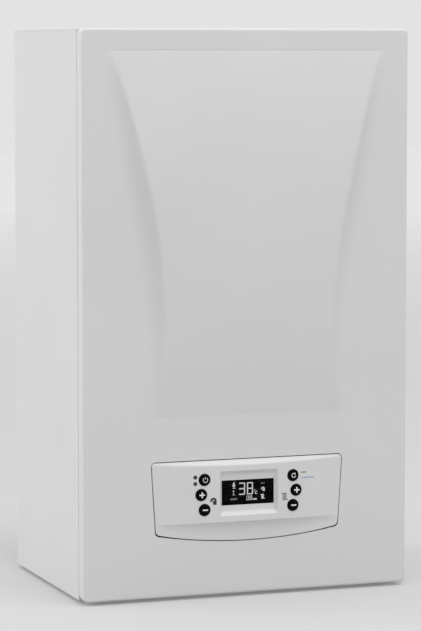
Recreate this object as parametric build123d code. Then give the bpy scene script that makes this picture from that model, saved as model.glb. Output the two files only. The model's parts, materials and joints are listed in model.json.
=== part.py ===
from build123d import *
import math
import os

# Wall-hung combi boiler. Millimetres. X is to the right seen from the front, the front faces -Y, +Z is up.
# The pieces are modelled with z = 0 at the casing's lower edge and y = 0 at the wall, and are moved down by
# HANG_HEIGHT when they are written, so that the origin is midway between the two hanging slots.

# ---------------------------------------------------------------- casing
CASE_W = 416.0
CASE_H = 680.0
CASE_D = 285.0
SHEET = 1.2
HANG_HEIGHT = 640.0
HANG_SPACING = 200.0
HANG_SLOT_W = 9.0
HANG_SLOT_L = 30.0
LOW_FIX_HEIGHT = 110.0
LOW_FIX_SPACING = 300.0
LOW_FIX_D = 8.0
COVER_RETURN = 22.0
COVER_PROUD = 1.3
COVER_CORNER_R = 6.5
COVER_EDGE_R = 3.0
COVER_HEM = 9.0
SEAL_T = 1.2
SEAL_W = 7.0
PANEL_FLANGE = 22.0
FRAME_FLANGE = 22.0
FIT = 0.3
PLATE_HEIGHT = 60.0
PLATE_LIP = 10.0
RAIL_BASE = 7.5
RAIL_HEIGHT = 15.0
RAIL_DEPTH = 20.0
TAB_W = 26.0
TAB_SPACING = 300.0
SCREW_R = 2.5
SCREW_HEAD_R = 4.5
SCREW_HEAD_T = 2.4

# ---------------------------------------------------------------- raised shield on the front cover
SHIELD_TOP = 653.0
SHIELD_PEAK = 470.0
SHIELD_BASE = 217.0
SHIELD_RISE = 12.5
SHIELD_TOP_HALF = 170.5
SHIELD_PEAK_HALF = 136.5
SHIELD_WAIST_HALF = 115.5
SHIELD_WAIST = 290.0
SHIELD_BASE_HALF = 118.0
SHIELD_DRAFT = 1.1

# ---------------------------------------------------------------- control panel
FASCIA_TOP = 163.5
FASCIA_TOP_HALF = 122.5
FASCIA_LOW = 76.0
FASCIA_LOW_HALF = 117.0
FASCIA_SAG = 11.0
FASCIA_CORNER_R = 5.0
FASCIA_GAP = 1.0
FASCIA_CROWN = 6.0
FASCIA_EDGE = 0.6
FASCIA_BEVEL = 6.0
FASCIA_CREASE = 88.7
FASCIA_COVE = 11.0
FASCIA_WALL = 2.5
FASCIA_BACK = 8.0
RECESS_W = 74.7
RECESS_H = 53.0
RECESS_Z = 122.65
WINDOW_W = 66.7
WINDOW_H = 29.1
WINDOW_Z = 122.95
WINDOW_DEPTH = 5.0
LENS_T = 1.6
DISPLAY_T = 5.0
BUTTON_R = 7.25
BUTTON_GAP = 0.3
BUTTON_TRAVEL = 1.0
BUTTON_PROUD = 1.5
BUTTON_FLANGE_R = 9.0
BUTTON_FLANGE_T = 1.5
BUTTON_OUTER_X = 61.0
BUTTON_INNER_X = 56.9
BUTTON_ROW_Z = (141.2, 123.1, 104.7)
TRAY_W = 216.0
TRAY_H = 88.0
TRAY_BASE = 72.0
TRAY_D = 60.0
TRAY_WALL = 2.0
BOARD_T = 1.6
HINGE_Y = -266.0
HINGE_Z = 69.0
HINGE_PIN_R = 3.0
HINGE_CLEAR = 0.05
HINGE_EAR_R = 6.0
HINGE_EAR_T = 3.0

# ---------------------------------------------------------------- combustion
HX_X = -45.0
HX_Z = 440.0
HX_R = 115.0
HX_WALL = 3.0
HX_BACK = -86.0
HX_DEPTH = 112.0
COIL_R = 84.0
COIL_TUBE_R = 9.0
COIL_PITCH = 21.0
COIL_TURNS = 4
BURNER_R = 35.0
BURNER_L = 84.0
DOOR_T = 7.0
FLUE_X = 0.0
FLUE_Y = -142.0
FLUE_R = 30.0
FLUE_WALL = 2.0
AIR_R = 50.0
SOCKET_DEPTH = 32.0
AIR_SEAT = 18.0
SPIGOT_BELOW = 8.0
SPIGOT_ABOVE = 12.0
FAN_X = 135.0
FAN_R = 58.0
FAN_D = 40.0
FAN_WHEEL_R = 45.0
FAN_BLADES = 12
MOTOR_R = 33.0
MOTOR_D = 24.0
ELBOW_R = 17.0
VENTURI_R = 25.0
VENTURI_L = 36.0
SILENCER_TOP = 628.0

# ---------------------------------------------------------------- water side
STUB_Y = -150.0
STUB_SIDE = 78.0
STUB_LOW = 22.0
PIPE_34_R = 13.2
PIPE_12_R = 10.4
STUB_WALL = 1.8
THREAD_L = 16.0
THREAD_RELIEF = 0.8
GROMMET_W = 5.0
HEAT_PIPE_R = 9.0
WATER_PIPE_R = 7.5
VESSEL_W = 340.0
VESSEL_TOP_GAP = 48.0
VESSEL_WALL = 1.6
VESSEL_D = 76.0
VESSEL_BASE = 232.0
PUMP_Z = 150.0
PUMP_R = 42.0
PUMP_BODY_D = 46.0
PUMP_MOTOR_R = 40.0
PUMP_MOTOR_D = 56.0
PLATE_HX_H = 74.0
PLATE_HX_D = 40.0

FRONT = -CASE_D
COVER_BACK = FRONT + COVER_RETURN
PANEL_FRONT = COVER_BACK + SEAL_T
SIDE_X = CASE_W / 2 - COVER_PROUD
INSIDE_X = SIDE_X - SHEET
PANEL_TOP = CASE_H - COVER_PROUD
VESSEL_H = CASE_H - VESSEL_TOP_GAP - VESSEL_BASE
STUB_PITCH = (CASE_W - 2 * STUB_SIDE) / 4
STUB_X = [STUB_PITCH * i for i in (-2, -1, 0, 1, 2)]

# ---------------------------------------------------------------- places on the casing
PANEL_SCREW_X = SIDE_X - PANEL_FLANGE + 5.0
PANEL_SCREW_Z = (RAIL_BASE + RAIL_HEIGHT / 2, PANEL_TOP - 16.0)
STUB_R = [r - THREAD_RELIEF for r in (PIPE_34_R, PIPE_12_R, PIPE_34_R, PIPE_12_R, PIPE_34_R)]
GLAND_X = -INSIDE_X + 27.5
GLAND_Y = -215.0
GLAND_R = 8.0
DRAIN_X = STUB_X[0] + 34.0
DRAIN_Y = -110.0
DRAIN_R = 11.0
FILL_X = STUB_X[4] - 10.0
FILL_Y = -205.0
FILL_SPINDLE_R = 4.0
RELIEF_X = INSIDE_X - 27.5
RELIEF_Y = -135.0
RELIEF_PIPE_R = 7.5
RELIEF_NECK_R = RELIEF_PIPE_R - 0.5
DRAIN_END_R = DRAIN_R + 1.4
TAB_SCREW_Y = PANEL_FRONT + SHEET + FIT + RAIL_DEPTH / 2

# ---------------------------------------------------------------- places in the control box
CROWN_FRONT = FRONT - FASCIA_CROWN
WINDOW_Y = CROWN_FRONT + WINDOW_DEPTH
WELL_FLOOR = 1.4
COLLAR_BACK = FRONT + 3.0
BOARD_FRONT = FRONT + 9.0
TRAY_FRONT = FRONT + FASCIA_BACK
TRAY_BACK = TRAY_FRONT + TRAY_D
BOSS_X = TRAY_W / 2 - 8.0
BOSS_R = 4.0
BOSS_Z = (TRAY_BASE + 12.0, TRAY_BASE + TRAY_H - 8.0)
BUTTON_PLACES = {
    "power_button": (-BUTTON_INNER_X, BUTTON_ROW_Z[0]),
    "reset_button": (BUTTON_INNER_X, BUTTON_ROW_Z[0]),
    "hot_water_plus_button": (-BUTTON_OUTER_X, BUTTON_ROW_Z[1]),
    "heating_plus_button": (BUTTON_OUTER_X, BUTTON_ROW_Z[1]),
    "hot_water_minus_button": (-BUTTON_INNER_X, BUTTON_ROW_Z[2]),
    "heating_minus_button": (BUTTON_INNER_X, BUTTON_ROW_Z[2]),
}
SWITCH_TOP = BOARD_FRONT - 3.0
MAIN_BOARD_W = 196.0

# ---------------------------------------------------------------- places in the burner group
HX_FRONT = HX_BACK - HX_DEPTH
HX_FLANGE_R = HX_R + 9.0
DOOR_BACK = HX_FRONT - 0.05
DOOR_FRONT = DOOR_BACK - DOOR_T
DOOR_STUD_R = HX_R + 3.5
DOOR_STUDS = 6
COIL_START_Y = HX_BACK - HX_WALL - COIL_TUBE_R - 3.0
COIL_END_Z = HX_Z - HX_R - 20.0
ELBOW_Y = DOOR_FRONT - 25.0
FAN_BACK = ELBOW_Y + FAN_D / 2
FAN_FRONT = ELBOW_Y - FAN_D / 2
FAN_OUTLET = 36.0
FAN_Z = HX_Z + FAN_R - FAN_OUTLET / 2
FAN_WALL = 3.0
FAN_SHAFT_R = 3.0
FAN_MOUTH_X = FAN_X - FAN_R - 2.0
BAR_T = 2.0
BAR_H = 34.0
HX_TOP = HX_Z + HX_R + 12.0
TRAP_Y = -110.0
TRAP_TOP = HX_Z - HX_R - 8.0
SPARK_X = HX_X - 46.8
SPARK_Z = HX_Z - 27.0
SPARK_R = 5.0
VALVE_Y = -178.0
VALVE_BASE = 292.0
VALVE_TOP = 378.0
GAS_RUN_Z = 250.0
FEED_Y = FAN_BACK + VENTURI_L / 2
TRAP_LOW = 226.0

# ---------------------------------------------------------------- places on the water side
FLOW_X = STUB_X[0]
HOT_X = STUB_X[1]
COLD_X = STUB_X[3]
RETURN_X = STUB_X[4]
BLOCK_HALF = 20.0
BLOCK_FRONT = -180.0
BLOCK_BACK = -120.0
BLOCK_BASE = PLATE_HEIGHT + 15.0
FLOW_BLOCK_TOP = 190.0
ACTUATOR_H = 56.0
VOLUTE_FRONT = -140.0
VOLUTE_BACK = VOLUTE_FRONT + PUMP_BODY_D - 6.0
MOTOR_BACK = VOLUTE_FRONT - 0.05
PORT_X = RETURN_X - 12.0
PLATE_HX_W = 2 * (PORT_X + 7.0)
PLATE_HX_FRONT = -75.0
PLATE_HX_Z = 133.0
RETURN_PORT_X = RETURN_X - 30.0
PUMP_PORT_Y = -112.0
RETURN_PORT_Z = PUMP_Z + 38.0
PUMP_SHAFT_R = 4.0
IMPELLER_R = 30.0
VESSEL_PORT_X = VESSEL_W / 2 - 70.0
HOSE_END_X = RETURN_X + 16.0
RELIEF_ARM_Z = 92.0
RELIEF_KNOB_Z = 118.0
RELIEF_KNOB_Y = -158.0
KNOB_STEM_R = 3.0


def box(x0, x1, y0, y1, z0, z1):
    """A box between two corners."""
    size = (x1 - x0, y1 - y0, z1 - z0)
    return Pos((x0 + x1) / 2, (y0 + y1) / 2, (z0 + z1) / 2) * Box(*size)


def rod_x(x0, x1, y, z, r):
    """A round bar along X."""
    return Pos((x0 + x1) / 2, y, z) * Rot(0, 90, 0) * Cylinder(r, abs(x1 - x0))


def rod_y(x, y0, y1, z, r):
    """A round bar along Y."""
    return Pos(x, (y0 + y1) / 2, z) * Rot(90, 0, 0) * Cylinder(r, abs(y1 - y0))


def rod_z(x, y, z0, z1, r):
    """A round bar along Z."""
    return Pos(x, y, (z0 + z1) / 2) * Cylinder(r, abs(z1 - z0))


def front_face(sketch, y):
    """A sketch drawn in X and Z, stood up in the plane at y, with its normal towards the front."""
    return Plane(origin=(0, y, 0), x_dir=(1, 0, 0), z_dir=(0, -1, 0)) * sketch


def prism_y(sketch, y0, y1):
    """A sketch drawn in X and Z, extruded from y0 to y1."""
    return extrude(front_face(sketch, max(y0, y1)), amount=abs(y1 - y0), dir=(0, -1, 0))


def prism_x(points, x0, x1):
    """A polygon drawn in Y and Z, extruded from x0 to x1."""
    plane = Plane(origin=(x0, 0, 0), x_dir=(0, 1, 0), z_dir=(1, 0, 0))
    face = plane * make_face(Polyline(*points, close=True))
    return extrude(face, amount=x1 - x0, dir=(1, 0, 0))


def round_rect(x, z, w, h, r):
    """A rectangle with round corners, drawn in X and Z."""
    return Pos(x, z) * RectangleRounded(w, h, r)


def pipe(points, radius, bends):
    """A round pipe through the points, with a bend of the given radius at each corner."""
    path = FilletPolyline(*points, radius=bends) if len(points) > 2 else Line(*points)
    start = path @ 0
    section = Plane(origin=start, z_dir=path % 0) * Circle(radius)
    return sweep(section, path=path)


def group(pieces):
    """Separate solids that share one node."""
    return Compound([solid for piece in pieces for solid in piece.solids()])


def mirror_x(shape):
    """The same piece on the other side."""
    return mirror(shape, about=Plane.YZ)


# ================================================================ casing
def make_rear_frame():
    """Pressed back panel with side and top flanges, hanging slots near the top and two lower fixing holes."""
    side = INSIDE_X - FIT
    top = PANEL_TOP - SHEET - FIT
    plate = box(-side, side, -SHEET, 0, 0, top)
    left = box(-side, -side + SHEET, -FRAME_FLANGE, 0, 0, top)
    upper = box(-side, side, -FRAME_FLANGE, 0, top - SHEET, top)
    frame = plate + left + mirror_x(left) + upper
    for x in (-HANG_SPACING / 2, HANG_SPACING / 2):
        slot = Pos(x, HANG_HEIGHT) * SlotOverall(HANG_SLOT_L, HANG_SLOT_W)
        frame -= prism_y(slot, 1, -SHEET - 1)
    for x in (-LOW_FIX_SPACING / 2, LOW_FIX_SPACING / 2):
        frame -= rod_y(x, 1, -SHEET - 1, LOW_FIX_HEIGHT, LOW_FIX_D / 2)
    return frame


def make_right_side_panel():
    """Side sheet with an inward flange along its front edge that carries the cover seal."""
    top = PANEL_TOP - SHEET - 0.1
    sheet = box(INSIDE_X, SIDE_X, PANEL_FRONT, 0, 0, top)
    flange = box(SIDE_X - PANEL_FLANGE, SIDE_X, PANEL_FRONT, PANEL_FRONT + SHEET, 0, top)
    panel = sheet + flange
    panel = fillet(panel.edges().filter_by(Axis.Z).group_by(Axis.X)[-1].sort_by(Axis.Y)[0], SHEET * 0.9)
    for z in PANEL_SCREW_Z:
        panel -= rod_y(PANEL_SCREW_X, PANEL_FRONT - 1, PANEL_FRONT + SHEET + 1, z, SCREW_R)
    return panel


def make_left_side_panel():
    """The right panel's mirror image."""
    return mirror_x(make_right_side_panel())


def make_top_panel():
    """Top sheet with a front flange, pierced for the coaxial flue socket."""
    side = INSIDE_X - FIT
    lip_y = PANEL_FRONT + SHEET + 0.1
    panel = box(-SIDE_X, SIDE_X, PANEL_FRONT, 0, PANEL_TOP - SHEET, PANEL_TOP)
    panel += box(-side, side, lip_y, lip_y + SHEET, PANEL_TOP - PANEL_FLANGE, PANEL_TOP)
    for x in (-PANEL_SCREW_X, PANEL_SCREW_X):
        panel -= rod_y(x, lip_y - 1, lip_y + SHEET + 1, PANEL_SCREW_Z[1], SCREW_R)
    panel -= rod_z(FLUE_X, FLUE_Y, PANEL_TOP - 2 * SHEET, PANEL_TOP + 1, AIR_R + FLUE_WALL + 0.1)
    return panel


def make_bottom_plate():
    """Recessed bottom plate with lips down all round and holes for the connections and services."""
    side = INSIDE_X - SHEET - 2 * FIT
    front = PANEL_FRONT + SHEET + FIT
    back = -SHEET - FIT
    outer = box(-side, side, front, back, PLATE_HEIGHT - PLATE_LIP, PLATE_HEIGHT)
    inner = box(-side + SHEET, side - SHEET, front + SHEET, back - SHEET, 0, PLATE_HEIGHT - SHEET)
    plate = outer - inner
    for x, r in zip(STUB_X, STUB_R):
        plate -= rod_z(x, STUB_Y, 0, PLATE_HEIGHT + 1, r + GROMMET_W / 2)
    plate -= rod_z(GLAND_X, GLAND_Y, 0, PLATE_HEIGHT + 1, GLAND_R)
    plate -= rod_z(DRAIN_X, DRAIN_Y, 0, PLATE_HEIGHT + 1, DRAIN_R + GROMMET_W / 2)
    plate -= rod_z(FILL_X, FILL_Y, 0, PLATE_HEIGHT + 1, FILL_SPINDLE_R + FIT)
    plate -= rod_z(RELIEF_X, RELIEF_Y, 0, PLATE_HEIGHT + 1, RELIEF_NECK_R + GROMMET_W / 2)
    return plate


def make_front_rail():
    """Channel across the lower front that takes the cover screws."""
    front = PANEL_FRONT + SHEET + FIT
    side = INSIDE_X - FIT
    outer = box(-side, side, front, front + RAIL_DEPTH, RAIL_BASE, RAIL_BASE + RAIL_HEIGHT)
    inner_y = (front + SHEET, front + RAIL_DEPTH - SHEET)
    rail = outer - box(-side - 1, side + 1, *inner_y, RAIL_BASE + SHEET, RAIL_BASE + RAIL_HEIGHT + 1)
    for x in (-TAB_SPACING / 2, TAB_SPACING / 2):
        rail -= rod_z(x, TAB_SCREW_Y, 0, RAIL_BASE + SHEET + 1, SCREW_R)
    for x in (-PANEL_SCREW_X, PANEL_SCREW_X):
        rail -= rod_y(x, front - 1, front + SHEET + 1, PANEL_SCREW_Z[0], SCREW_R)
    return rail


def cover_screws():
    """Two screws that stay in the rail and clamp the cover's lower tabs."""
    screws = []
    for x in (-TAB_SPACING / 2, TAB_SPACING / 2):
        head_top = RAIL_BASE - SHEET - 0.2
        screw = rod_z(x, TAB_SCREW_Y, head_top - SCREW_HEAD_T, head_top, SCREW_HEAD_R)
        screw += rod_z(x, TAB_SCREW_Y, head_top - 0.5, RAIL_BASE + 8, SCREW_R - 0.1)
        slot = box(x - 0.6, x + 0.6, TAB_SCREW_Y - 3.5, TAB_SCREW_Y + 3.5, head_top - SCREW_HEAD_T - 1,
                   head_top - SCREW_HEAD_T + 1)
        screws.append(screw - slot)
    return screws


def panel_screws():
    """Screws through the side panels' front flanges into the lower rail and the top panel's lip."""
    screws = []
    for x in (-PANEL_SCREW_X, PANEL_SCREW_X):
        for z in PANEL_SCREW_Z:
            head = rod_y(x, PANEL_FRONT - 1.9, PANEL_FRONT - 0.05, z, SCREW_HEAD_R - 0.7)
            screws.append(head + rod_y(x, PANEL_FRONT - 1, PANEL_FRONT + 8, z, SCREW_R - 0.25))
    return screws


def make_pipe_grommets():
    """Rubber rings with a groove, seated in the bottom plate round each connection."""
    rings = []
    places = list(zip(STUB_X, [STUB_Y] * len(STUB_X), STUB_R))
    places += [(DRAIN_X, DRAIN_Y, DRAIN_R), (RELIEF_X, RELIEF_Y, RELIEF_NECK_R)]
    for x, y, r in places:
        ring = rod_z(x, y, PLATE_HEIGHT - SHEET - 2, PLATE_HEIGHT + 2, r + GROMMET_W)
        ring -= rod_z(x, y, PLATE_HEIGHT - SHEET, PLATE_HEIGHT, r + GROMMET_W + 1) - rod_z(
            x, y, PLATE_HEIGHT - SHEET, PLATE_HEIGHT, r + GROMMET_W / 2 - 0.1)
        ring -= rod_z(x, y, PLATE_HEIGHT - 10, PLATE_HEIGHT + 10, r + 0.1)
        rings.append(ring)
    return group(rings)


def make_mains_cable_gland():
    """Threaded gland body with its lock nut; the mains lead itself is not fitted."""
    body = rod_z(GLAND_X, GLAND_Y, PLATE_HEIGHT - 14, PLATE_HEIGHT + 8, GLAND_R - 0.1)
    nut = Pos(GLAND_X, GLAND_Y, PLATE_HEIGHT - SHEET - 8) * extrude(RegularPolygon(GLAND_R + 3, 6), amount=8)
    lock = Pos(GLAND_X, GLAND_Y, PLATE_HEIGHT) * extrude(RegularPolygon(GLAND_R + 3, 6), amount=4)
    gland = body + nut + lock
    return gland - rod_z(GLAND_X, GLAND_Y, PLATE_HEIGHT - 20, PLATE_HEIGHT + 20, GLAND_R - 3.5)


def shield_outline(inset):
    """Outline of the raised shield in X and Z, narrowed by the inset on each side."""
    side = Spline(
        (SHIELD_BASE_HALF - inset, SHIELD_BASE),
        (SHIELD_WAIST_HALF - inset, SHIELD_WAIST),
        (SHIELD_PEAK_HALF - inset, SHIELD_PEAK),
        (SHIELD_TOP_HALF - inset, SHIELD_TOP),
    )
    other = mirror(side, about=Plane.YZ)
    top = Line(side @ 1, other @ 1)
    base = Line(side @ 0, other @ 0)
    return make_face([side, top, other, base])


def shield_solid(back):
    """The shield's flanks meet a surface that rises to its peak and dies into the cover at both ends."""
    root = FRONT + SHEET * 0.4
    peak = FRONT - SHIELD_RISE
    reach = SHIELD_RISE + 3
    foot = front_face(shield_outline((FRONT - root) * SHIELD_DRAFT), root)
    crest = front_face(shield_outline(reach * SHIELD_DRAFT), FRONT - reach)
    flanks = loft([foot, crest], ruled=True)
    top_run = SHIELD_TOP - SHIELD_PEAK
    low_run = SHIELD_PEAK - SHIELD_BASE
    upper = RadiusArc((FRONT, SHIELD_TOP), (peak, SHIELD_PEAK), -bow_radius(top_run, SHIELD_RISE))
    lower = RadiusArc((peak, SHIELD_PEAK), (FRONT, SHIELD_BASE), -bow_radius(low_run, SHIELD_RISE))
    rear = Polyline((FRONT, SHIELD_BASE), (root, SHIELD_BASE), (root, SHIELD_TOP), (FRONT, SHIELD_TOP))
    section = make_face([upper, lower, rear])
    half = CASE_W / 2
    bow = extrude(Plane(origin=(-half, 0, 0), x_dir=(0, 1, 0), z_dir=(1, 0, 0)) * section, amount=CASE_W)
    return Pos(0, back, 0) * (flanks & bow)


def bow_radius(run, rise):
    """Radius of an arc that is level at its peak and falls by rise over run."""
    return (run * run + rise * rise) / (2 * rise)


def cover_body(inset):
    """The cover's outer block, or the block of the space inside it."""
    width = CASE_W - 2 * inset
    height = CASE_H - 2 * inset
    face = round_rect(0, CASE_H / 2, width, height, COVER_CORNER_R - inset)
    body = prism_y(face, FRONT + inset, COVER_BACK)
    return fillet(body.faces().sort_by(Axis.Y)[0].edges(), COVER_EDGE_R - inset)


def fascia_outline(inset):
    """Outline of the control panel in X and Z: straight top, sides that draw in, bowed lower edge."""
    top = FASCIA_TOP - inset
    low = FASCIA_LOW + inset
    half_top = FASCIA_TOP_HALF - inset
    half_low = FASCIA_LOW_HALF - inset
    edge = Polyline((-half_low, low), (-half_top, top), (half_top, top), (half_low, low))
    bow = ThreePointArc((half_low, low), (0, low - FASCIA_SAG), (-half_low, low))
    face = make_face([edge, bow])
    return fillet(face.vertices(), FASCIA_CORNER_R - inset)


def make_front_cover():
    """Pressed steel cover: raised shield, opening for the control panel, hem and two screw tabs."""
    cavity = cover_body(SHEET) - box(-CASE_W, CASE_W, COVER_BACK - SHEET, COVER_BACK + 1, -1, CASE_H + 1)
    hem = COVER_HEM + SHEET
    rear = round_rect(0, CASE_H / 2, CASE_W - 2 * hem, CASE_H - 2 * hem, 3)
    cavity += prism_y(rear, COVER_BACK - SHEET - 1, COVER_BACK + 1)
    cover = cover_body(0) + shield_solid(0) - cavity - shield_solid(SHEET)
    cover -= prism_y(fascia_outline(-FASCIA_GAP), FRONT - 5, FRONT + SHEET + 2)
    for x in (-TAB_SPACING / 2, TAB_SPACING / 2):
        x0, x1 = x - TAB_W / 2, x + TAB_W / 2
        riser = box(x0, x1, COVER_BACK - SHEET, COVER_BACK, 0.1, RAIL_BASE - 0.1)
        tab = box(x0, x1, COVER_BACK - SHEET, TAB_SCREW_Y + 6, RAIL_BASE - 0.1 - SHEET, RAIL_BASE - 0.1)
        notch = box(x - SCREW_R - 0.2, x + SCREW_R + 0.2, TAB_SCREW_Y, TAB_SCREW_Y + 7, 0, RAIL_BASE)
        notch += rod_z(x, TAB_SCREW_Y, 0, RAIL_BASE, SCREW_R + 0.2)
        cover += riser + (tab - notch)
    return cover


def make_cover_seal():
    """Foam strip on the front flanges of the casing: up one side, over the top and down the other."""
    outer = SIDE_X - 2.5
    inner = outer - SEAL_W
    top = PANEL_TOP - 2.5
    seal = box(-outer, outer, COVER_BACK, PANEL_FRONT, PLATE_HEIGHT, top)
    return seal - box(-inner, inner, COVER_BACK - 1, PANEL_FRONT + 1, 0, top - SEAL_W)


def make_flue_socket():
    """Coaxial socket in the top panel: outer collar for the air pipe, spigot for the flue, three webs."""
    top = PANEL_TOP
    low = top - SOCKET_DEPTH
    shelf = top - AIR_SEAT
    outer = rod_z(FLUE_X, FLUE_Y, low, top, AIR_R + FLUE_WALL)
    outer -= rod_z(FLUE_X, FLUE_Y, low - 1, top + 1, AIR_R)
    outer -= rod_z(FLUE_X, FLUE_Y, low - 1, shelf, AIR_R + FLUE_WALL / 2)
    flange = rod_z(FLUE_X, FLUE_Y, top - SHEET - 2.1, top - SHEET - 0.1, AIR_R + 12)
    flange -= rod_z(FLUE_X, FLUE_Y, low, top, AIR_R + 1)
    inner = rod_z(FLUE_X, FLUE_Y, low - SPIGOT_BELOW, low + SPIGOT_ABOVE, FLUE_R + FLUE_WALL)
    bore = rod_z(FLUE_X, FLUE_Y, low - 9, top + 1, FLUE_R)
    webs = Part()
    for i in range(3):
        web = box(0, AIR_R + 1.5, -1.2, 1.2, low, low + 10)
        webs += Pos(FLUE_X, FLUE_Y, 0) * Rot(0, 0, 120 * i + 90) * web
    return outer + flange + inner + webs - bore


# ================================================================ control box


def crown_y(x):
    """Where the control panel's crowned surface lies at x."""
    radius = bow_radius(FASCIA_TOP_HALF, FASCIA_CROWN - FASCIA_EDGE)
    return CROWN_FRONT + radius - math.sqrt(radius * radius - x * x)


def fascia_form(inset):
    """Crowned front with a bevel along the top and a cove below the crease, moved inwards by the inset."""
    half = FASCIA_TOP_HALF
    edge_y = FRONT - FASCIA_EDGE + inset
    back = TRAY_FRONT + (1 if inset else 0)
    arc = ThreePointArc((-half, edge_y), (0, CROWN_FRONT + inset), (half, edge_y))
    rim = Polyline((half, edge_y), (half, back), (-half, back), (-half, edge_y))
    crown = extrude(make_face([arc, rim]), amount=FASCIA_TOP + 10)
    form = crown & prism_y(fascia_outline(inset), FRONT - 20, back)
    top = FASCIA_TOP - inset
    slope_y = CROWN_FRONT + inset
    clear = slope_y - 20
    bevel_low = top - FASCIA_BEVEL
    bevel = [(edge_y, top), (slope_y, bevel_low), (clear, bevel_low), (clear, top + 5), (edge_y, top + 5)]
    form -= prism_x(bevel, -CASE_W / 2, CASE_W / 2)
    crease = FASCIA_CREASE - inset
    cove_low = crease - FASCIA_COVE
    sweep_in = ThreePointArc((slope_y - 1, crease), (edge_y - 1.6, crease - 3.2), (edge_y, cove_low))
    rest = Polyline((edge_y, cove_low), (edge_y, 0), (clear, 0), (clear, crease), (slope_y - 1, crease))
    plane = Plane(origin=(-CASE_W / 2, 0, 0), x_dir=(0, 1, 0), z_dir=(1, 0, 0))
    return form - extrude(plane * make_face([sweep_in, rest]), amount=CASE_W)


def make_control_fascia():
    """Moulded control panel: even walls, display well, six button collars and four screw bosses."""
    well = prism_y(round_rect(0, RECESS_Z, RECESS_W + 5, RECESS_H + 5, 4), FRONT - 20, WINDOW_Y + WELL_FLOOR)
    cavity = fascia_form(FASCIA_WALL) - well
    collar_r = BUTTON_R + BUTTON_GAP + 1.6
    for x, z in BUTTON_PLACES.values():
        cavity -= rod_y(x, FRONT - 20, COLLAR_BACK, z, collar_r)
    for x in (-BOSS_X, BOSS_X):
        for z in BOSS_Z:
            cavity -= rod_y(x, FRONT - 20, TRAY_FRONT, z, BOSS_R)
    fascia = fascia_form(0) - cavity
    rim_y = CROWN_FRONT + 0.4
    recess = round_rect(0, RECESS_Z, RECESS_W, RECESS_H, 2.5)
    window = round_rect(0, WINDOW_Z, WINDOW_W, WINDOW_H, 0.8)
    fascia -= loft([front_face(recess, rim_y), front_face(window, WINDOW_Y)], ruled=True)
    fascia -= prism_y(recess, rim_y, FRONT - 20)
    fascia -= prism_y(window, WINDOW_Y - 1, WINDOW_Y + WELL_FLOOR + 1)
    for x, z in BUTTON_PLACES.values():
        fascia -= rod_y(x, FRONT - 20, COLLAR_BACK + 1, z, BUTTON_R + BUTTON_GAP)
    for x in (-BOSS_X, BOSS_X):
        for z in BOSS_Z:
            fascia -= rod_y(x, FRONT + 2.5, TRAY_FRONT + 1, z, 1.5)
    return fascia


def make_button(x, z):
    """Push button: domed cap, flange that stops behind the collar, and a stem over its switch."""
    face_y = crown_y(x) - BUTTON_PROUD
    cap = rod_y(x, face_y, COLLAR_BACK + BUTTON_FLANGE_T, z, BUTTON_R)
    cap = fillet(cap.edges().group_by(Axis.Y)[0], 1.2)
    flange = rod_y(x, COLLAR_BACK + 0.1, COLLAR_BACK + BUTTON_FLANGE_T, z, BUTTON_FLANGE_R)
    stem = rod_y(x, COLLAR_BACK, SWITCH_TOP - BUTTON_TRAVEL - 0.15, z, 2.5)
    return cap + flange + stem


def make_display_lens():
    """Clear window that fills the opening of the display well, with a flange behind the well's floor."""
    pad = round_rect(0, WINDOW_Z, WINDOW_W - FIT, WINDOW_H - FIT, 0.7)
    flange = round_rect(0, WINDOW_Z, WINDOW_W + 3, WINDOW_H + 3, 1)
    back = WINDOW_Y + WELL_FLOOR
    return prism_y(pad, WINDOW_Y + 0.2, back + 0.5) + prism_y(flange, back + 0.05, back + LENS_T)


def make_display_module():
    """Liquid crystal glass in its frame, held between the lens and the button board."""
    front = WINDOW_Y + WELL_FLOOR + LENS_T + 0.1
    frame = prism_y(round_rect(0, WINDOW_Z, WINDOW_W + 5, WINDOW_H + 7, 1), front, front + DISPLAY_T)
    glass_recess = prism_y(round_rect(0, WINDOW_Z, WINDOW_W, WINDOW_H, 0.5), front - 1, front + 0.4)
    back = front + DISPLAY_T
    connector = box(-20, 20, back - 0.5, BOARD_FRONT - 0.05, WINDOW_Z - 3, WINDOW_Z + 3)
    return frame - glass_recess + connector


def make_button_board():
    """Printed board behind the fascia with one tact switch under each button."""
    half = BUTTON_OUTER_X + 12
    low = BUTTON_ROW_Z[2] - 11
    high = BUTTON_ROW_Z[0] + 9
    board = box(-half, half, BOARD_FRONT, BOARD_FRONT + BOARD_T, low, high)
    for x, z in BUTTON_PLACES.values():
        board += box(x - 3, x + 3, SWITCH_TOP + 1.2, BOARD_FRONT + 0.2, z - 3, z + 3)
        board += rod_y(x, SWITCH_TOP, SWITCH_TOP + 1.5, z, 1.7)
    board += box(-9, 9, BOARD_FRONT + BOARD_T - 0.2, BOARD_FRONT + 8, low + 4, low + 10)
    for x in (-half + 4, half - 4):
        for z in (low + 4, high - 4):
            board -= rod_y(x, BOARD_FRONT - 1, BOARD_FRONT + BOARD_T + 1, z, 1.6)
    return board


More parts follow.
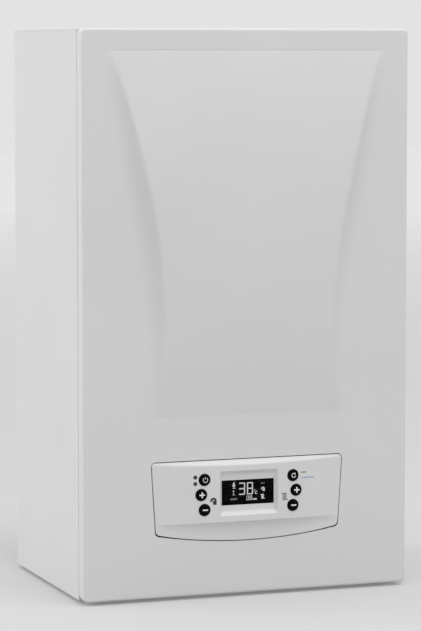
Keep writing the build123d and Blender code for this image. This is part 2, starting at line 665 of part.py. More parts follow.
def make_control_box_tray():
    """Moulded tray behind the fascia, with a front flange, board pillars and two hinge ears."""
    half = TRAY_W / 2
    top = TRAY_BASE + TRAY_H
    tray = box(-half, half, TRAY_FRONT, TRAY_BACK, TRAY_BASE, top)
    wall = TRAY_WALL
    tray -= box(-half + wall, half - wall, TRAY_FRONT + wall, TRAY_BACK + 1, TRAY_BASE + wall, top - wall)
    edge = 16.0
    tray -= box(-half + edge, half - edge, TRAY_FRONT - 1, TRAY_FRONT + wall + 1, TRAY_BASE + 5, top - 5)
    low = BUTTON_ROW_Z[2] - 11
    high = BUTTON_ROW_Z[0] + 9
    for x in (-BUTTON_OUTER_X - 8, BUTTON_OUTER_X + 8):
        for z, edge_z in ((low + 4, TRAY_BASE + 1), (high - 4, top - 1)):
            seat = BOARD_FRONT + BOARD_T + 0.05
            tray += box(x - 3, x + 3, seat, TRAY_FRONT + 12, min(z, edge_z), max(z, edge_z))
    for x in (-BOSS_X, BOSS_X):
        for z in BOSS_Z:
            tray -= rod_y(x, TRAY_FRONT - 1, TRAY_FRONT + wall + 1, z, 1.6)
    ear = rod_x(half, half + HINGE_EAR_T, HINGE_Y, HINGE_Z, HINGE_EAR_R)
    ear += box(half - 1, half + HINGE_EAR_T, HINGE_Y - HINGE_EAR_R, HINGE_Y + 16, TRAY_BASE, TRAY_BASE + 18)
    ear += box(half, half + HINGE_EAR_T, HINGE_Y - HINGE_EAR_R, HINGE_Y + HINGE_EAR_R, HINGE_Z, TRAY_BASE + 1)
    ear -= rod_x(half - 2, half + HINGE_EAR_T + 1, HINGE_Y, HINGE_Z, HINGE_PIN_R + HINGE_CLEAR)
    for slot in range(6):
        x = -75 + 30 * slot
        tray -= box(x - 10, x + 10, TRAY_BACK - 30, TRAY_BACK - 26, top - wall - 1, top + 1)
    return tray + ear + mirror_x(ear)


def make_control_box_lid():
    """Rear lid of the control box with pillars for the main board and a row of vents."""
    half = TRAY_W / 2
    top = TRAY_BASE + TRAY_H
    lid = box(-half, half, TRAY_BACK + 0.05, TRAY_BACK + 2, TRAY_BASE, top)
    lip = box(-half + 2.3, half - 2.3, TRAY_BACK - 5, TRAY_BACK + 1, TRAY_BASE + 2.3, top - 2.3)
    lip -= box(-half + 4, half - 4, TRAY_BACK - 6, TRAY_BACK + 0.05, TRAY_BASE + 4, top - 4)
    lid += lip
    for x in (-MAIN_BOARD_W / 2 + 6, MAIN_BOARD_W / 2 - 6):
        for z in (TRAY_BASE + 12, top - 12):
            lid += rod_y(x, TRAY_BACK - 9, TRAY_BACK + 1, z, 3.5)
    for i in range(7):
        x = -60 + 20 * i
        lid -= box(x - 2, x + 2, TRAY_BACK - 1, TRAY_BACK + 3, top - 34, top - 14)
    return lid


def make_main_circuit_board():
    """Main control board: relays, transformer, capacitors and a row of connectors."""
    back = TRAY_BACK - 9.05
    front = back - BOARD_T
    low = TRAY_BASE + 6
    high = TRAY_BASE + TRAY_H - 6
    half = MAIN_BOARD_W / 2
    board = box(-half, half, front, back, low, high)
    for i in range(4):
        board += box(-86 + 22 * i, -70 + 22 * i, front - 15, front + 0.2, high - 26, high - 12)
    board += box(38, 76, front - 24, front + 0.2, low + 26, low + 56)
    for x in (10, 26):
        board += rod_y(x, front - 18, front + 0.2, high - 20, 6)
    board += box(-40, -22, front - 2.5, front + 0.2, low + 26, low + 40)
    for i in range(8):
        board += box(-88 + 23 * i, -70 + 23 * i, front - 9, front + 0.2, low + 2, low + 11)
    return board


def make_control_box_brackets():
    """Two brackets on the bottom plate with the pins that the control box tilts on."""
    inner = TRAY_W / 2 + HINGE_EAR_T + FIT
    outer = inner + 2.5
    back = PANEL_FRONT + 24
    floor = PLATE_HEIGHT + 0.05
    top = HINGE_Z + HINGE_EAR_R
    upright = box(inner, outer, HINGE_Y, back, floor, top)
    upright += rod_x(inner, outer, HINGE_Y, HINGE_Z, HINGE_EAR_R)
    foot = box(inner, outer + 14, PANEL_FRONT + 4, back, floor, floor + 2)
    pin = rod_x(TRAY_W / 2 + 0.2, outer + 1.5, HINGE_Y, HINGE_Z, HINGE_PIN_R)
    bracket = upright + foot + pin
    return group([bracket, mirror_x(bracket)])


# ================================================================ combustion


def make_support_crossbar():
    """Sheet bar across the casing in front of the expansion vessel; it carries the heat exchanger."""
    outer = INSIDE_X - FIT - SHEET - FIT
    low, high = HX_Z - BAR_H / 2, HX_Z + BAR_H / 2
    bar = box(-outer, outer, HX_BACK + 0.05, HX_BACK + 0.05 + BAR_T, low, high)
    leg = box(outer - BAR_T, outer, HX_BACK + 0.05, -SHEET - FIT, low, high)
    return bar + leg + mirror_x(leg)


def door_studs():
    """Places of the studs round the burner door."""
    angles = [math.radians(30 + 360 / DOOR_STUDS * i) for i in range(DOOR_STUDS)]
    return [(HX_X + DOOR_STUD_R * math.cos(a), HX_Z + DOOR_STUD_R * math.sin(a)) for a in angles]


def make_heat_exchanger_casing():
    """Drum round the coil, with a flange for the door, the flue outlet on top and the drain below."""
    body = rod_y(HX_X, HX_BACK, HX_FRONT, HX_Z, HX_R)
    body += rod_y(HX_X, HX_FRONT, HX_FRONT + 4, HX_Z, HX_FLANGE_R)
    body += rod_z(FLUE_X, FLUE_Y, HX_Z + 20, HX_TOP, FLUE_R + FLUE_WALL)
    body += rod_z(HX_X, TRAP_Y, TRAP_TOP, HX_Z - HX_R + 8, 11)
    body -= rod_y(HX_X, HX_BACK - HX_WALL, HX_FRONT - 1, HX_Z, HX_R - HX_WALL)
    body -= rod_z(FLUE_X, FLUE_Y, HX_Z, HX_TOP + 1, FLUE_R)
    body -= rod_z(HX_X, TRAP_Y, TRAP_TOP - 1, HX_Z, 8)
    front_y = COIL_START_Y - (COIL_TURNS - 0.5) * COIL_PITCH
    for x, y in ((HX_X + COIL_R, COIL_START_Y), (HX_X - COIL_R, front_y)):
        body -= rod_z(x, y, COIL_END_Z, HX_Z - 50, COIL_TUBE_R + FIT)
    for x, z in door_studs():
        body -= rod_y(x, HX_FRONT - 1, HX_FRONT + 5, z, SCREW_R)
    return body


def make_heat_exchanger_coil():
    """One unbroken stainless tube: half turns that each climb half a pitch, with straight legs out below."""
    half_turns = 2 * COIL_TURNS - 1
    climb = COIL_PITCH / 2
    edges = [Line((HX_X + COIL_R, COIL_START_Y, COIL_END_Z), (HX_X + COIL_R, COIL_START_Y, HX_Z))]
    for i in range(half_turns):
        side = 1 if i % 2 == 0 else -1
        y0 = COIL_START_Y - climb * i
        start = (HX_X + side * COIL_R, y0, HX_Z)
        middle = (HX_X, y0 - climb / 2, HX_Z + side * math.hypot(COIL_R, climb / 2))
        end = (HX_X - side * COIL_R, y0 - climb, HX_Z)
        edges.append(ThreePointArc(start, middle, end))
    end_y = COIL_START_Y - climb * half_turns
    edges.append(Line((HX_X - COIL_R, end_y, HX_Z), (HX_X - COIL_R, end_y, COIL_END_Z)))
    path = Wire(edges)
    section = Plane(origin=path @ 0, z_dir=path % 0) * Circle(COIL_TUBE_R)
    return sweep(section, path=path)


def make_burner_door():
    """Cast door with a rim, radial ribs and the mixture inlet in its middle."""
    door = rod_y(HX_X, DOOR_BACK, DOOR_FRONT, HX_Z, HX_FLANGE_R)
    dish = rod_y(HX_X, DOOR_FRONT - 1, DOOR_FRONT + 3, HX_Z, HX_FLANGE_R - 13)
    dish -= rod_y(HX_X, DOOR_FRONT - 1, DOOR_FRONT + 3, HX_Z, 36)
    door -= dish
    for i in range(6):
        rib = box(34, HX_FLANGE_R - 11, DOOR_FRONT + 1.2, DOOR_FRONT + 4, -2.5, 2.5)
        door += Pos(HX_X, 0, HX_Z) * Rot(0, 60 * i, 0) * rib
    door -= rod_y(HX_X, DOOR_BACK + 1, DOOR_FRONT - 1, HX_Z, ELBOW_R - 3)
    for x, z in door_studs():
        door -= rod_y(x, DOOR_BACK + 1, DOOR_FRONT - 1, z, SCREW_R + 0.2)
    return door - rod_y(SPARK_X, DOOR_BACK + 1, DOOR_FRONT - 1, SPARK_Z, SPARK_R + 0.1)


def make_burner_tube():
    """Slotted burner cylinder behind the door, closed at its far end."""
    back = DOOR_BACK + 0.05
    tube = rod_y(HX_X, back, back + BURNER_L, HX_Z, BURNER_R)
    tube += rod_y(HX_X, back, back + 2, HX_Z, BURNER_R + 8)
    tube -= rod_y(HX_X, back - 1, back + BURNER_L - 2, HX_Z, BURNER_R - 1.5)
    for i in range(12):
        slot = box(BURNER_R - 4, BURNER_R + 2, back + 12, back + BURNER_L - 10, -1, 1)
        tube -= Pos(HX_X, 0, HX_Z) * Rot(0, 30 * i, 0) * slot
    return tube


def make_spark_electrode():
    """Ceramic insulator through the door with two pins that reach into the chamber."""
    body = rod_y(SPARK_X, DOOR_FRONT - 14, DOOR_BACK + 6, SPARK_Z, SPARK_R)
    body += rod_y(SPARK_X, DOOR_FRONT - 3, DOOR_FRONT + 2.9, SPARK_Z, SPARK_R + 3)
    for x in (SPARK_X - 2, SPARK_X + 2):
        body += rod_y(x, DOOR_BACK + 5, DOOR_BACK + 34, SPARK_Z, 1)
    return body + rod_y(SPARK_X, DOOR_FRONT - 22, DOOR_FRONT - 13, SPARK_Z, 2)


def make_fan_housing():
    """Fan casing with a tangential outlet to the left and its inlet at the back."""
    half = FAN_OUTLET / 2
    body = rod_y(FAN_X, FAN_BACK, FAN_FRONT, FAN_Z, FAN_R)
    body += box(FAN_MOUTH_X, FAN_X, FAN_FRONT, FAN_BACK, HX_Z - half, HX_Z + half)
    wall = FAN_WALL
    body -= rod_y(FAN_X, FAN_BACK - wall, FAN_FRONT + wall, FAN_Z, FAN_R - wall)
    low, high = HX_Z - half + wall, HX_Z + half - wall
    body -= box(FAN_MOUTH_X - 1, FAN_X - 25, FAN_FRONT + wall, FAN_BACK - wall, low, high)
    body -= rod_y(FAN_X, FAN_BACK + 1, FAN_BACK - wall - 1, FAN_Z, VENTURI_R - 8)
    body -= rod_y(FAN_X, FAN_FRONT - 1, FAN_FRONT + wall + 1, FAN_Z, FAN_SHAFT_R + 2)
    return body


def make_fan_wheel():
    """Backward-curved impeller: hub and disc, blades and a shroud ring, turning on the motor shaft."""
    disc_y = FAN_FRONT + FAN_WALL + 3
    lip_y = FAN_BACK - FAN_WALL - 4
    wheel = rod_y(FAN_X, disc_y, disc_y + 2, FAN_Z, FAN_WHEEL_R) + rod_y(FAN_X, disc_y, disc_y + 12, FAN_Z, 9)
    ring = rod_y(FAN_X, lip_y - 1.6, lip_y, FAN_Z, FAN_WHEEL_R)
    wheel += ring - rod_y(FAN_X, lip_y - 3, lip_y + 1, FAN_Z, 27)
    for i in range(FAN_BLADES):
        blade = Pos(35, 0, 0) * Rot(0, 28, 0) * Box(17, lip_y - disc_y - 1, 1.4)
        turn = Pos(FAN_X, (disc_y + lip_y) / 2, FAN_Z) * Rot(0, 360 / FAN_BLADES * i, 0)
        wheel += turn * blade
    return wheel - rod_y(FAN_X, disc_y - 1, disc_y + 13, FAN_Z, FAN_SHAFT_R + 0.05)


def make_fan_motor():
    """Electronically driven motor on the fan's front, with its shaft and plug housing."""
    back = FAN_FRONT - 0.05
    motor = rod_y(FAN_X, back, back - MOTOR_D, FAN_Z, MOTOR_R)
    motor = fillet(motor.edges().group_by(Axis.Y)[0], 4)
    motor += rod_y(FAN_X, back, back - 3, FAN_Z, MOTOR_R + 8)
    for i in range(12):
        fin = box(MOTOR_R - 12, MOTOR_R + 1.5, back - MOTOR_D + 6, back - 3, -1, 1)
        motor += Pos(FAN_X, 0, FAN_Z) * Rot(0, 30 * i, 0) * fin
    plug_z = FAN_Z - MOTOR_R - 3
    motor += box(FAN_X - 10, FAN_X + 10, back - MOTOR_D + 4, back - 6, plug_z - 7, plug_z + 7)
    shaft_end = FAN_FRONT + FAN_WALL + 14
    return motor + rod_y(FAN_X, back - 1, shaft_end, FAN_Z, FAN_SHAFT_R)


def make_mixture_elbow():
    """Cast elbow that carries gas and air from the fan to the middle of the door."""
    points = [(FAN_MOUTH_X - 0.05, ELBOW_Y, HX_Z), (HX_X, ELBOW_Y, HX_Z), (HX_X, DOOR_FRONT - 0.05, HX_Z)]
    elbow = pipe(points, ELBOW_R, ELBOW_R + 3)
    elbow += rod_x(FAN_MOUTH_X - 4, FAN_MOUTH_X - 0.05, ELBOW_Y, HX_Z, ELBOW_R + 6)
    elbow += rod_y(HX_X, DOOR_FRONT - 4, DOOR_FRONT - 0.05, HX_Z, ELBOW_R + 11)
    return elbow - pipe(points, ELBOW_R - 3, ELBOW_R + 3)


def make_venturi():
    """Mixer at the fan inlet, waisted inside, with a boss for the gas feed."""
    front = FAN_BACK + 0.05
    back = front + VENTURI_L
    body = rod_y(FAN_X, front, back, FAN_Z, VENTURI_R - 3)
    for y in (front, back - 4):
        body += rod_y(FAN_X, y, y + 4, FAN_Z, VENTURI_R + 5)
    body += rod_z(FAN_X, (front + back) / 2, FAN_Z - VENTURI_R - 6, FAN_Z - 15, 8)
    middle = (front + back) / 2
    half = VENTURI_L / 2
    cone = Cone(VENTURI_R - 7, VENTURI_R - 12, half)
    body -= Pos(FAN_X, middle - half / 2, FAN_Z) * Rot(-90, 0, 0) * cone
    body -= Pos(FAN_X, middle + half / 2, FAN_Z) * Rot(90, 0, 0) * cone
    return body


def make_air_silencer():
    """Upright intake duct behind the mixer, open at the top."""
    front = FAN_BACK + VENTURI_L + 0.1
    back = front + 58
    outer = box(FAN_X - 32, FAN_X + 32, front, back, FAN_Z - 34, SILENCER_TOP)
    outer = fillet(outer.edges().filter_by(Axis.Z), 8)
    inner = box(FAN_X - 30, FAN_X + 30, front + 2, back - 2, FAN_Z - 32, SILENCER_TOP + 1)
    duct = outer - fillet(inner.edges().filter_by(Axis.Z), 6)
    return duct - rod_y(FAN_X, front - 1, front + 3, FAN_Z, VENTURI_R - 7)


def make_gas_valve():
    """Gas valve body with two solenoids and its inlet and outlet bosses."""
    body = box(FAN_X - 24, FAN_X + 24, VALVE_Y - 22, VALVE_Y + 22, VALVE_BASE + 8, VALVE_TOP - 10)
    body = chamfer(body.edges().filter_by(Axis.Z), 4)
    body += rod_z(FAN_X, VALVE_Y, VALVE_BASE, VALVE_BASE + 9, 15)
    body += rod_z(FAN_X, FEED_Y, VALVE_TOP - 11, VALVE_TOP, 10)
    for z in (VALVE_BASE + 26, VALVE_TOP - 30):
        body += rod_x(FAN_X + 23, FAN_X + 46, VALVE_Y, z, 13)
        body += box(FAN_X + 28, FAN_X + 44, VALVE_Y - 20, VALVE_Y - 8, z - 7, z + 7)
    for z in (VALVE_BASE + 22, VALVE_BASE + 40):
        body += rod_y(FAN_X - 10, VALVE_Y - 30, VALVE_Y - 21, z, 3.5)
    return body


def make_gas_pipe():
    """Gas inlet stub below the bottom plate and the pipe up to the gas valve."""
    points = [(0, STUB_Y, STUB_LOW), (0, STUB_Y, GAS_RUN_Z), (FAN_X, VALVE_Y, GAS_RUN_Z),
              (FAN_X, VALVE_Y, VALVE_BASE - 0.05)]
    body, bore = stub(0, PIPE_34_R)
    return body + pipe(points, HEAT_PIPE_R, 20) - bore


def make_gas_feed_tube():
    """Short tube from the gas valve to the mixer."""
    low = VALVE_TOP + 0.05
    high = FAN_Z - VENTURI_R - 6.05
    return rod_z(FAN_X, FEED_Y, low, high, 6) + rod_z(FAN_X, FEED_Y, low, low + 7, 8.5)


def make_flue_duct():
    """Flue pipe between the heat exchanger and the socket, with a bell at each end."""
    low = HX_TOP + 0.05
    high = PANEL_TOP - SOCKET_DEPTH - SPIGOT_BELOW - 0.5
    outer = FLUE_R + FLUE_WALL
    duct = rod_z(FLUE_X, FLUE_Y, low, high, outer)
    for z0, z1 in ((low - 9, low + 9), (high - 9, high + 7)):
        duct += rod_z(FLUE_X, FLUE_Y, z0, z1, outer + 2.5)
    for z0, z1 in ((low - 10, low), (high, high + 10)):
        duct -= rod_z(FLUE_X, FLUE_Y, z0, z1, outer + 0.1)
    return duct - rod_z(FLUE_X, FLUE_Y, low - 10, high + 10, FLUE_R - 1)


def make_condensate_trap():
    """Siphon below the heat exchanger: inlet neck, ribbed bowl and outlet."""
    top = TRAP_TOP - 0.05
    bowl = rod_z(HX_X, TRAP_Y, TRAP_LOW + 10, top - 12, 24)
    bowl = fillet(bowl.edges(), 5)
    bowl += rod_z(HX_X, TRAP_Y, top - 14, top, 14) + rod_z(HX_X, TRAP_Y, TRAP_LOW, TRAP_LOW + 12, 9)
    for i in range(3):
        z = TRAP_LOW + 24 + 14 * i
        bowl += rod_z(HX_X, TRAP_Y, z, z + 2.5, 25.2)
    return bowl


def make_condensate_hose():
    """Drain hose from the siphon down through the bottom plate."""
    points = [(HX_X, TRAP_Y, TRAP_LOW - 0.05), (HX_X, TRAP_Y, 200), (DRAIN_X, DRAIN_Y, 160),
              (DRAIN_X, DRAIN_Y, STUB_LOW)]
    hose = pipe(points, DRAIN_R, 24) + rod_z(DRAIN_X, DRAIN_Y, STUB_LOW, STUB_LOW + THREAD_L, DRAIN_END_R)
    return hose - pipe(points, DRAIN_R - 2, 24)


def make_chassis_fasteners():
    """Panel screws, cover screws, and the studs with their nuts on the burner door."""
    pieces = [*panel_screws(), *cover_screws()]
    for x, z in door_studs():
        stud = rod_y(x, HX_FRONT + 3.5, DOOR_FRONT - 8, z, SCREW_R - 0.1)
        nut = front_face(Pos(x, z) * RegularPolygon(4.6, 6), DOOR_FRONT - 0.05)
        pieces.append(stud + extrude(nut, amount=4.5, dir=(0, -1, 0)))
    return group(pieces)


# ================================================================ water side


def stub(x, r):
    """Union stub under the bottom plate: threaded end, neck through the plate, and its bore."""
    body = rod_z(x, STUB_Y, STUB_LOW, PLATE_HEIGHT + 16, r - THREAD_RELIEF)
    body += rod_z(x, STUB_Y, STUB_LOW, STUB_LOW + THREAD_L, r)
    return body, rod_z(x, STUB_Y, STUB_LOW - 1, PLATE_HEIGHT - 6, r - THREAD_RELIEF - STUB_WALL)


def make_expansion_vessel():
    """Flat vessel of two crowned shells welded at a flange, with its port below and its valve on top."""
    back = -SHEET - FIT
    middle = back - VESSEL_D / 2
    centre_z = VESSEL_BASE + VESSEL_H / 2
    rim = prism_y(round_rect(0, centre_z, VESSEL_W, VESSEL_H, 60), middle - 2, middle + 2)
    wide = round_rect(0, centre_z, VESSEL_W - 8, VESSEL_H - 8, 56)
    narrow = round_rect(0, centre_z, VESSEL_W - 60, VESSEL_H - 60, 40)
    shell = rim
    for edge, far in ((middle - 1, back - VESSEL_D), (middle + 1, back)):
        shell += loft([front_face(wide, edge), front_face(narrow, far)], ruled=True)
    wide = round_rect(0, centre_z, VESSEL_W - 12, VESSEL_H - 12, 54)
    narrow = round_rect(0, centre_z, VESSEL_W - 64, VESSEL_H - 64, 38)
    for far in (back - VESSEL_D + VESSEL_WALL, back - VESSEL_WALL):
        shell -= loft([front_face(wide, middle), front_face(narrow, far)], ruled=True)
    shell += rod_z(VESSEL_PORT_X, middle, VESSEL_BASE - 7, VESSEL_BASE + 6, 9)
    return shell + rod_z(60, middle, VESSEL_BASE + VESSEL_H - 5, VESSEL_BASE + VESSEL_H + 14, 5)


def make_vessel_hose():
    """Hose from the vessel's lower port to the back of the pump body."""
    middle = -SHEET - FIT - VESSEL_D / 2
    points = [(VESSEL_PORT_X, middle, VESSEL_BASE - 7.05), (VESSEL_PORT_X, middle, VESSEL_BASE - 30),
              (HOSE_END_X, middle, PUMP_Z + 40), (HOSE_END_X, middle, PUMP_Z + 5),
              (HOSE_END_X, VOLUTE_BACK + 0.05, PUMP_Z + 5)]
    return pipe(points, 5.5, 15)


def make_pump_body():
    """Return group: union stub, cast block, pump volute, filling valve and the bosses for the pipes."""
    body, bore = stub(RETURN_X, PIPE_34_R)
    body += box(RETURN_X - BLOCK_HALF, RETURN_X + BLOCK_HALF, BLOCK_FRONT, VOLUTE_BACK, BLOCK_BASE,
                PUMP_Z - PUMP_MOTOR_R - 2)
    body += rod_y(RETURN_X, VOLUTE_BACK, VOLUTE_FRONT, PUMP_Z, PUMP_R)
    body += box(RETURN_X - BLOCK_HALF, RETURN_X + BLOCK_HALF, VOLUTE_FRONT + 2, VOLUTE_BACK, BLOCK_BASE,
                PUMP_Z - IMPELLER_R - 4)
    pipe_boss = (RETURN_PORT_X, 11, PUMP_Z, RETURN_PORT_Z)
    vent_boss = (RETURN_X, 12, PUMP_Z + 20, PUMP_Z + PUMP_R + 2)
    for x, half, z0, z1 in (pipe_boss, vent_boss):
        body += box(x - half, x + half, PUMP_PORT_Y - 11, PUMP_PORT_Y + 11, z0, z1)
    body += rod_y(PORT_X, VOLUTE_BACK - 2, PLATE_HX_FRONT - 0.05, PLATE_HX_Z, 9)
    body += rod_x(RETURN_X, RELIEF_X - 10.05, RELIEF_Y, RELIEF_ARM_Z, 7)
    body += rod_z(FILL_X, FILL_Y, PLATE_HEIGHT + 0.05, PLATE_HEIGHT + 30, 10)
    body += rod_y(FILL_X, FILL_Y, BLOCK_FRONT + 1, PLATE_HEIGHT + 24, 6)
    body -= rod_z(FILL_X, FILL_Y, PLATE_HEIGHT - 1, PLATE_HEIGHT + 20, FILL_SPINDLE_R + 0.05)
    body -= rod_y(RETURN_X, VOLUTE_BACK - 5, VOLUTE_FRONT - 1, PUMP_Z, IMPELLER_R + 3)
    return body - bore


def make_pump_motor():
    """Wet-rotor pump motor with its ribbed can, terminal box and central plug."""
    front = MOTOR_BACK - PUMP_MOTOR_D
    motor = rod_y(RETURN_X, MOTOR_BACK, front, PUMP_Z, PUMP_MOTOR_R)
    motor = fillet(motor.edges().group_by(Axis.Y)[0], 5)
    for i in range(10):
        fin = box(PUMP_MOTOR_R - 8, PUMP_MOTOR_R + 1.8, front + 10, MOTOR_BACK - 6, -1.2, 1.2)
        motor += Pos(RETURN_X, 0, PUMP_Z) * Rot(0, 36 * i, 0) * fin
    motor += box(RETURN_X - 26, RETURN_X + 26, front - 8, front + 6, PUMP_Z - 26, PUMP_Z + 26)
    motor += box(RETURN_X - 12, RETURN_X + 12, front - 1, front + 20, PUMP_Z + 22, PUMP_Z + PUMP_MOTOR_R + 8)
    return motor - rod_y(RETURN_X, MOTOR_BACK + 1, MOTOR_BACK - 30, PUMP_Z, PUMP_SHAFT_R + 0.05)


def make_pump_rotor():
    """Pump shaft with its impeller, turning in the motor's bearing."""
    disc_y = VOLUTE_FRONT + 6
    rotor = rod_y(RETURN_X, disc_y, disc_y + 2.5, PUMP_Z, IMPELLER_R)
    rotor += rod_y(RETURN_X, disc_y, disc_y + 14, PUMP_Z, 8)
    rotor += rod_y(RETURN_X, disc_y + 1, MOTOR_BACK - 28, PUMP_Z, PUMP_SHAFT_R)
    for i in range(6):
        vane = Pos(19, disc_y + 7, 0) * Rot(0, 30, 0) * Box(20, 11, 2)
        rotor += Pos(RETURN_X, 0, PUMP_Z) * Rot(0, 60 * i, 0) * vane
    return rotor


def make_air_vent():
    """Automatic air vent screwed into the top of the pump body."""
    low = PUMP_Z + PUMP_R + 2.05
    vent = rod_z(RETURN_X, PUMP_PORT_Y, low, low + 6, 8) + rod_z(RETURN_X, PUMP_PORT_Y, low + 5, low + 34, 11)
    return vent + rod_z(RETURN_X, PUMP_PORT_Y, low + 33, low + 39, 4.5)


def make_flow_group():
    """Flow group: union stub, cast block of the three-way valve and the port to the plate heat exchanger."""
    body, bore = stub(FLOW_X, PIPE_34_R)
    block = box(FLOW_X - BLOCK_HALF, FLOW_X + BLOCK_HALF, BLOCK_FRONT, BLOCK_BACK, BLOCK_BASE, FLOW_BLOCK_TOP)
    body += chamfer(block.edges().filter_by(Axis.Z), 5)
    arm_x = -PORT_X
    body += rod_y(arm_x, BLOCK_BACK - 2, PLATE_HX_FRONT - 0.05, PLATE_HX_Z, 9)
    body += rod_z(FLOW_X, STUB_Y, FLOW_BLOCK_TOP - 1, FLOW_BLOCK_TOP + 8, 14)
    body += rod_x(FLOW_X - BLOCK_HALF - 14, FLOW_X - BLOCK_HALF + 1, STUB_Y, 110, 9)
    return body - bore


def make_valve_actuator():
    """Motor that shifts the three-way valve, clipped to the front of the flow group."""
    back = BLOCK_FRONT - 0.05
    low = FLOW_BLOCK_TOP - ACTUATOR_H - 18
    head = box(FLOW_X - 19, FLOW_X + 16, back - 26, back - 6, low, low + ACTUATOR_H)
    head = fillet(head.edges().filter_by(Axis.Y), 5)
    return head + rod_y(FLOW_X, back - 8, back, low + ACTUATOR_H / 2, 12)


def make_plate_heat_exchanger():
    """Brazed pack of plates with end plates and four ports."""
    half = PLATE_HX_W / 2
    low, high = PLATE_HX_Z - PLATE_HX_H / 2, PLATE_HX_Z + PLATE_HX_H / 2
    pitch = 4.0
    count = int((PLATE_HX_D - 4) / pitch)
    middle_z = (low + high) / 2
    pack = prism_y(round_rect(0, middle_z, PLATE_HX_W - 6, PLATE_HX_H - 6, 12), PLATE_HX_FRONT + 1,
                   PLATE_HX_FRONT + PLATE_HX_D - 1)
    for i in range(count + 1):
        y = PLATE_HX_FRONT + pitch * i
        pack += prism_y(round_rect(0, middle_z, 2 * half, PLATE_HX_H, 15), y, y + 2.0)
    return pack


def make_heating_flow_pipe():
    """Pipe from the coil's front leg down to the flow group."""
    coil_y = COIL_START_Y - (COIL_TURNS - 0.5) * COIL_PITCH
    leg_x = HX_X - COIL_R
    points = [(leg_x, coil_y, COIL_END_Z - 0.05), (leg_x, coil_y, COIL_END_Z - 43),
              (FLOW_X, STUB_Y, COIL_END_Z - 73), (FLOW_X, STUB_Y, FLOW_BLOCK_TOP + 8.05)]
    return pipe(points, HEAT_PIPE_R, 20)


def make_heating_return_pipe():
    """Pipe from the pump up to the coil's rear leg."""
    leg_x = HX_X + COIL_R
    points = [(RETURN_PORT_X, PUMP_PORT_Y, RETURN_PORT_Z + 0.05),
              (RETURN_PORT_X, PUMP_PORT_Y, RETURN_PORT_Z + 37),
              (leg_x, COIL_START_Y, COIL_END_Z - 37), (leg_x, COIL_START_Y, COIL_END_Z - 0.05)]
    return pipe(points, HEAT_PIPE_R, 20)


def water_pipe(x):
    """Union stub and the pipe from it to a port of the plate heat exchanger."""
    body, bore = stub(x, PIPE_12_R)
    points = [(x, STUB_Y, PLATE_HEIGHT + 10), (x, STUB_Y, PLATE_HX_Z), (x, PLATE_HX_FRONT - 0.05, PLATE_HX_Z)]
    return body + pipe(points, WATER_PIPE_R, 22) - bore


def make_hot_water_pipe():
    """Hot outlet, plain along its whole length."""
    return water_pipe(HOT_X)


def make_cold_water_pipe():
    """Cold inlet with the flow sensor's body round it."""
    low, high = PLATE_HEIGHT + 24, PLATE_HEIGHT + 48
    sensor = rod_z(COLD_X, STUB_Y, low, high, 12.5)
    sensor += box(COLD_X - 9, COLD_X + 9, STUB_Y - 18, STUB_Y - 8, low + 4, high - 4)
    return water_pipe(COLD_X) + sensor


def make_safety_valve():
    """Safety valve on the return group: body, discharge pipe through the bottom plate and knob stem."""
    body = rod_z(RELIEF_X, RELIEF_Y, RELIEF_ARM_Z - 14, RELIEF_KNOB_Z + 14, 10)
    body += rod_z(RELIEF_X, RELIEF_Y, STUB_LOW, RELIEF_ARM_Z - 12, RELIEF_NECK_R)
    body += rod_z(RELIEF_X, RELIEF_Y, STUB_LOW, STUB_LOW + THREAD_L, RELIEF_PIPE_R)
    body += rod_y(RELIEF_X, RELIEF_Y, RELIEF_KNOB_Y, RELIEF_KNOB_Z, 10)
    body += rod_y(RELIEF_X, RELIEF_KNOB_Y + 1, RELIEF_KNOB_Y - 12, RELIEF_KNOB_Z, KNOB_STEM_R)
    return body - rod_z(RELIEF_X, RELIEF_Y, STUB_LOW - 1, STUB_LOW + 30, RELIEF_NECK_R - 1.5)


def make_safety_valve_knob():
    """Ribbed knob that lifts the safety valve when it is turned."""
    back = RELIEF_KNOB_Y - 0.1
    knob = rod_y(RELIEF_X, back, back - 18, RELIEF_KNOB_Z, 14)
    knob = chamfer(knob.edges().group_by(Axis.Y)[0], 1.5)
    for i in range(8):
        turn = Pos(RELIEF_X, 0, RELIEF_KNOB_Z) * Rot(0, 45 * i, 0)
        knob -= turn * rod_y(15.5, back - 20, back - 4, 0, 3)
    return knob - rod_y(RELIEF_X, back + 1, back - 12.2, RELIEF_KNOB_Z, KNOB_STEM_R + 0.05)


def make_filling_tap_knob():
    """Knob under the bottom plate, with the spindle that runs up into the filling valve."""
    top = PLATE_HEIGHT - SHEET - 6
    knob = rod_z(FILL_X, FILL_Y, top - 20, top, 13)
    knob = chamfer(knob.edges().group_by(Axis.Z)[0], 1.5)
    for i in range(6):
        knob -= Pos(FILL_X, FILL_Y, 0) * Rot(0, 0, 60 * i) * rod_z(15, 0, top - 22, top - 3, 4)
    return knob + rod_z(FILL_X, FILL_Y, top - 1, PLATE_HEIGHT + 19, FILL_SPINDLE_R)


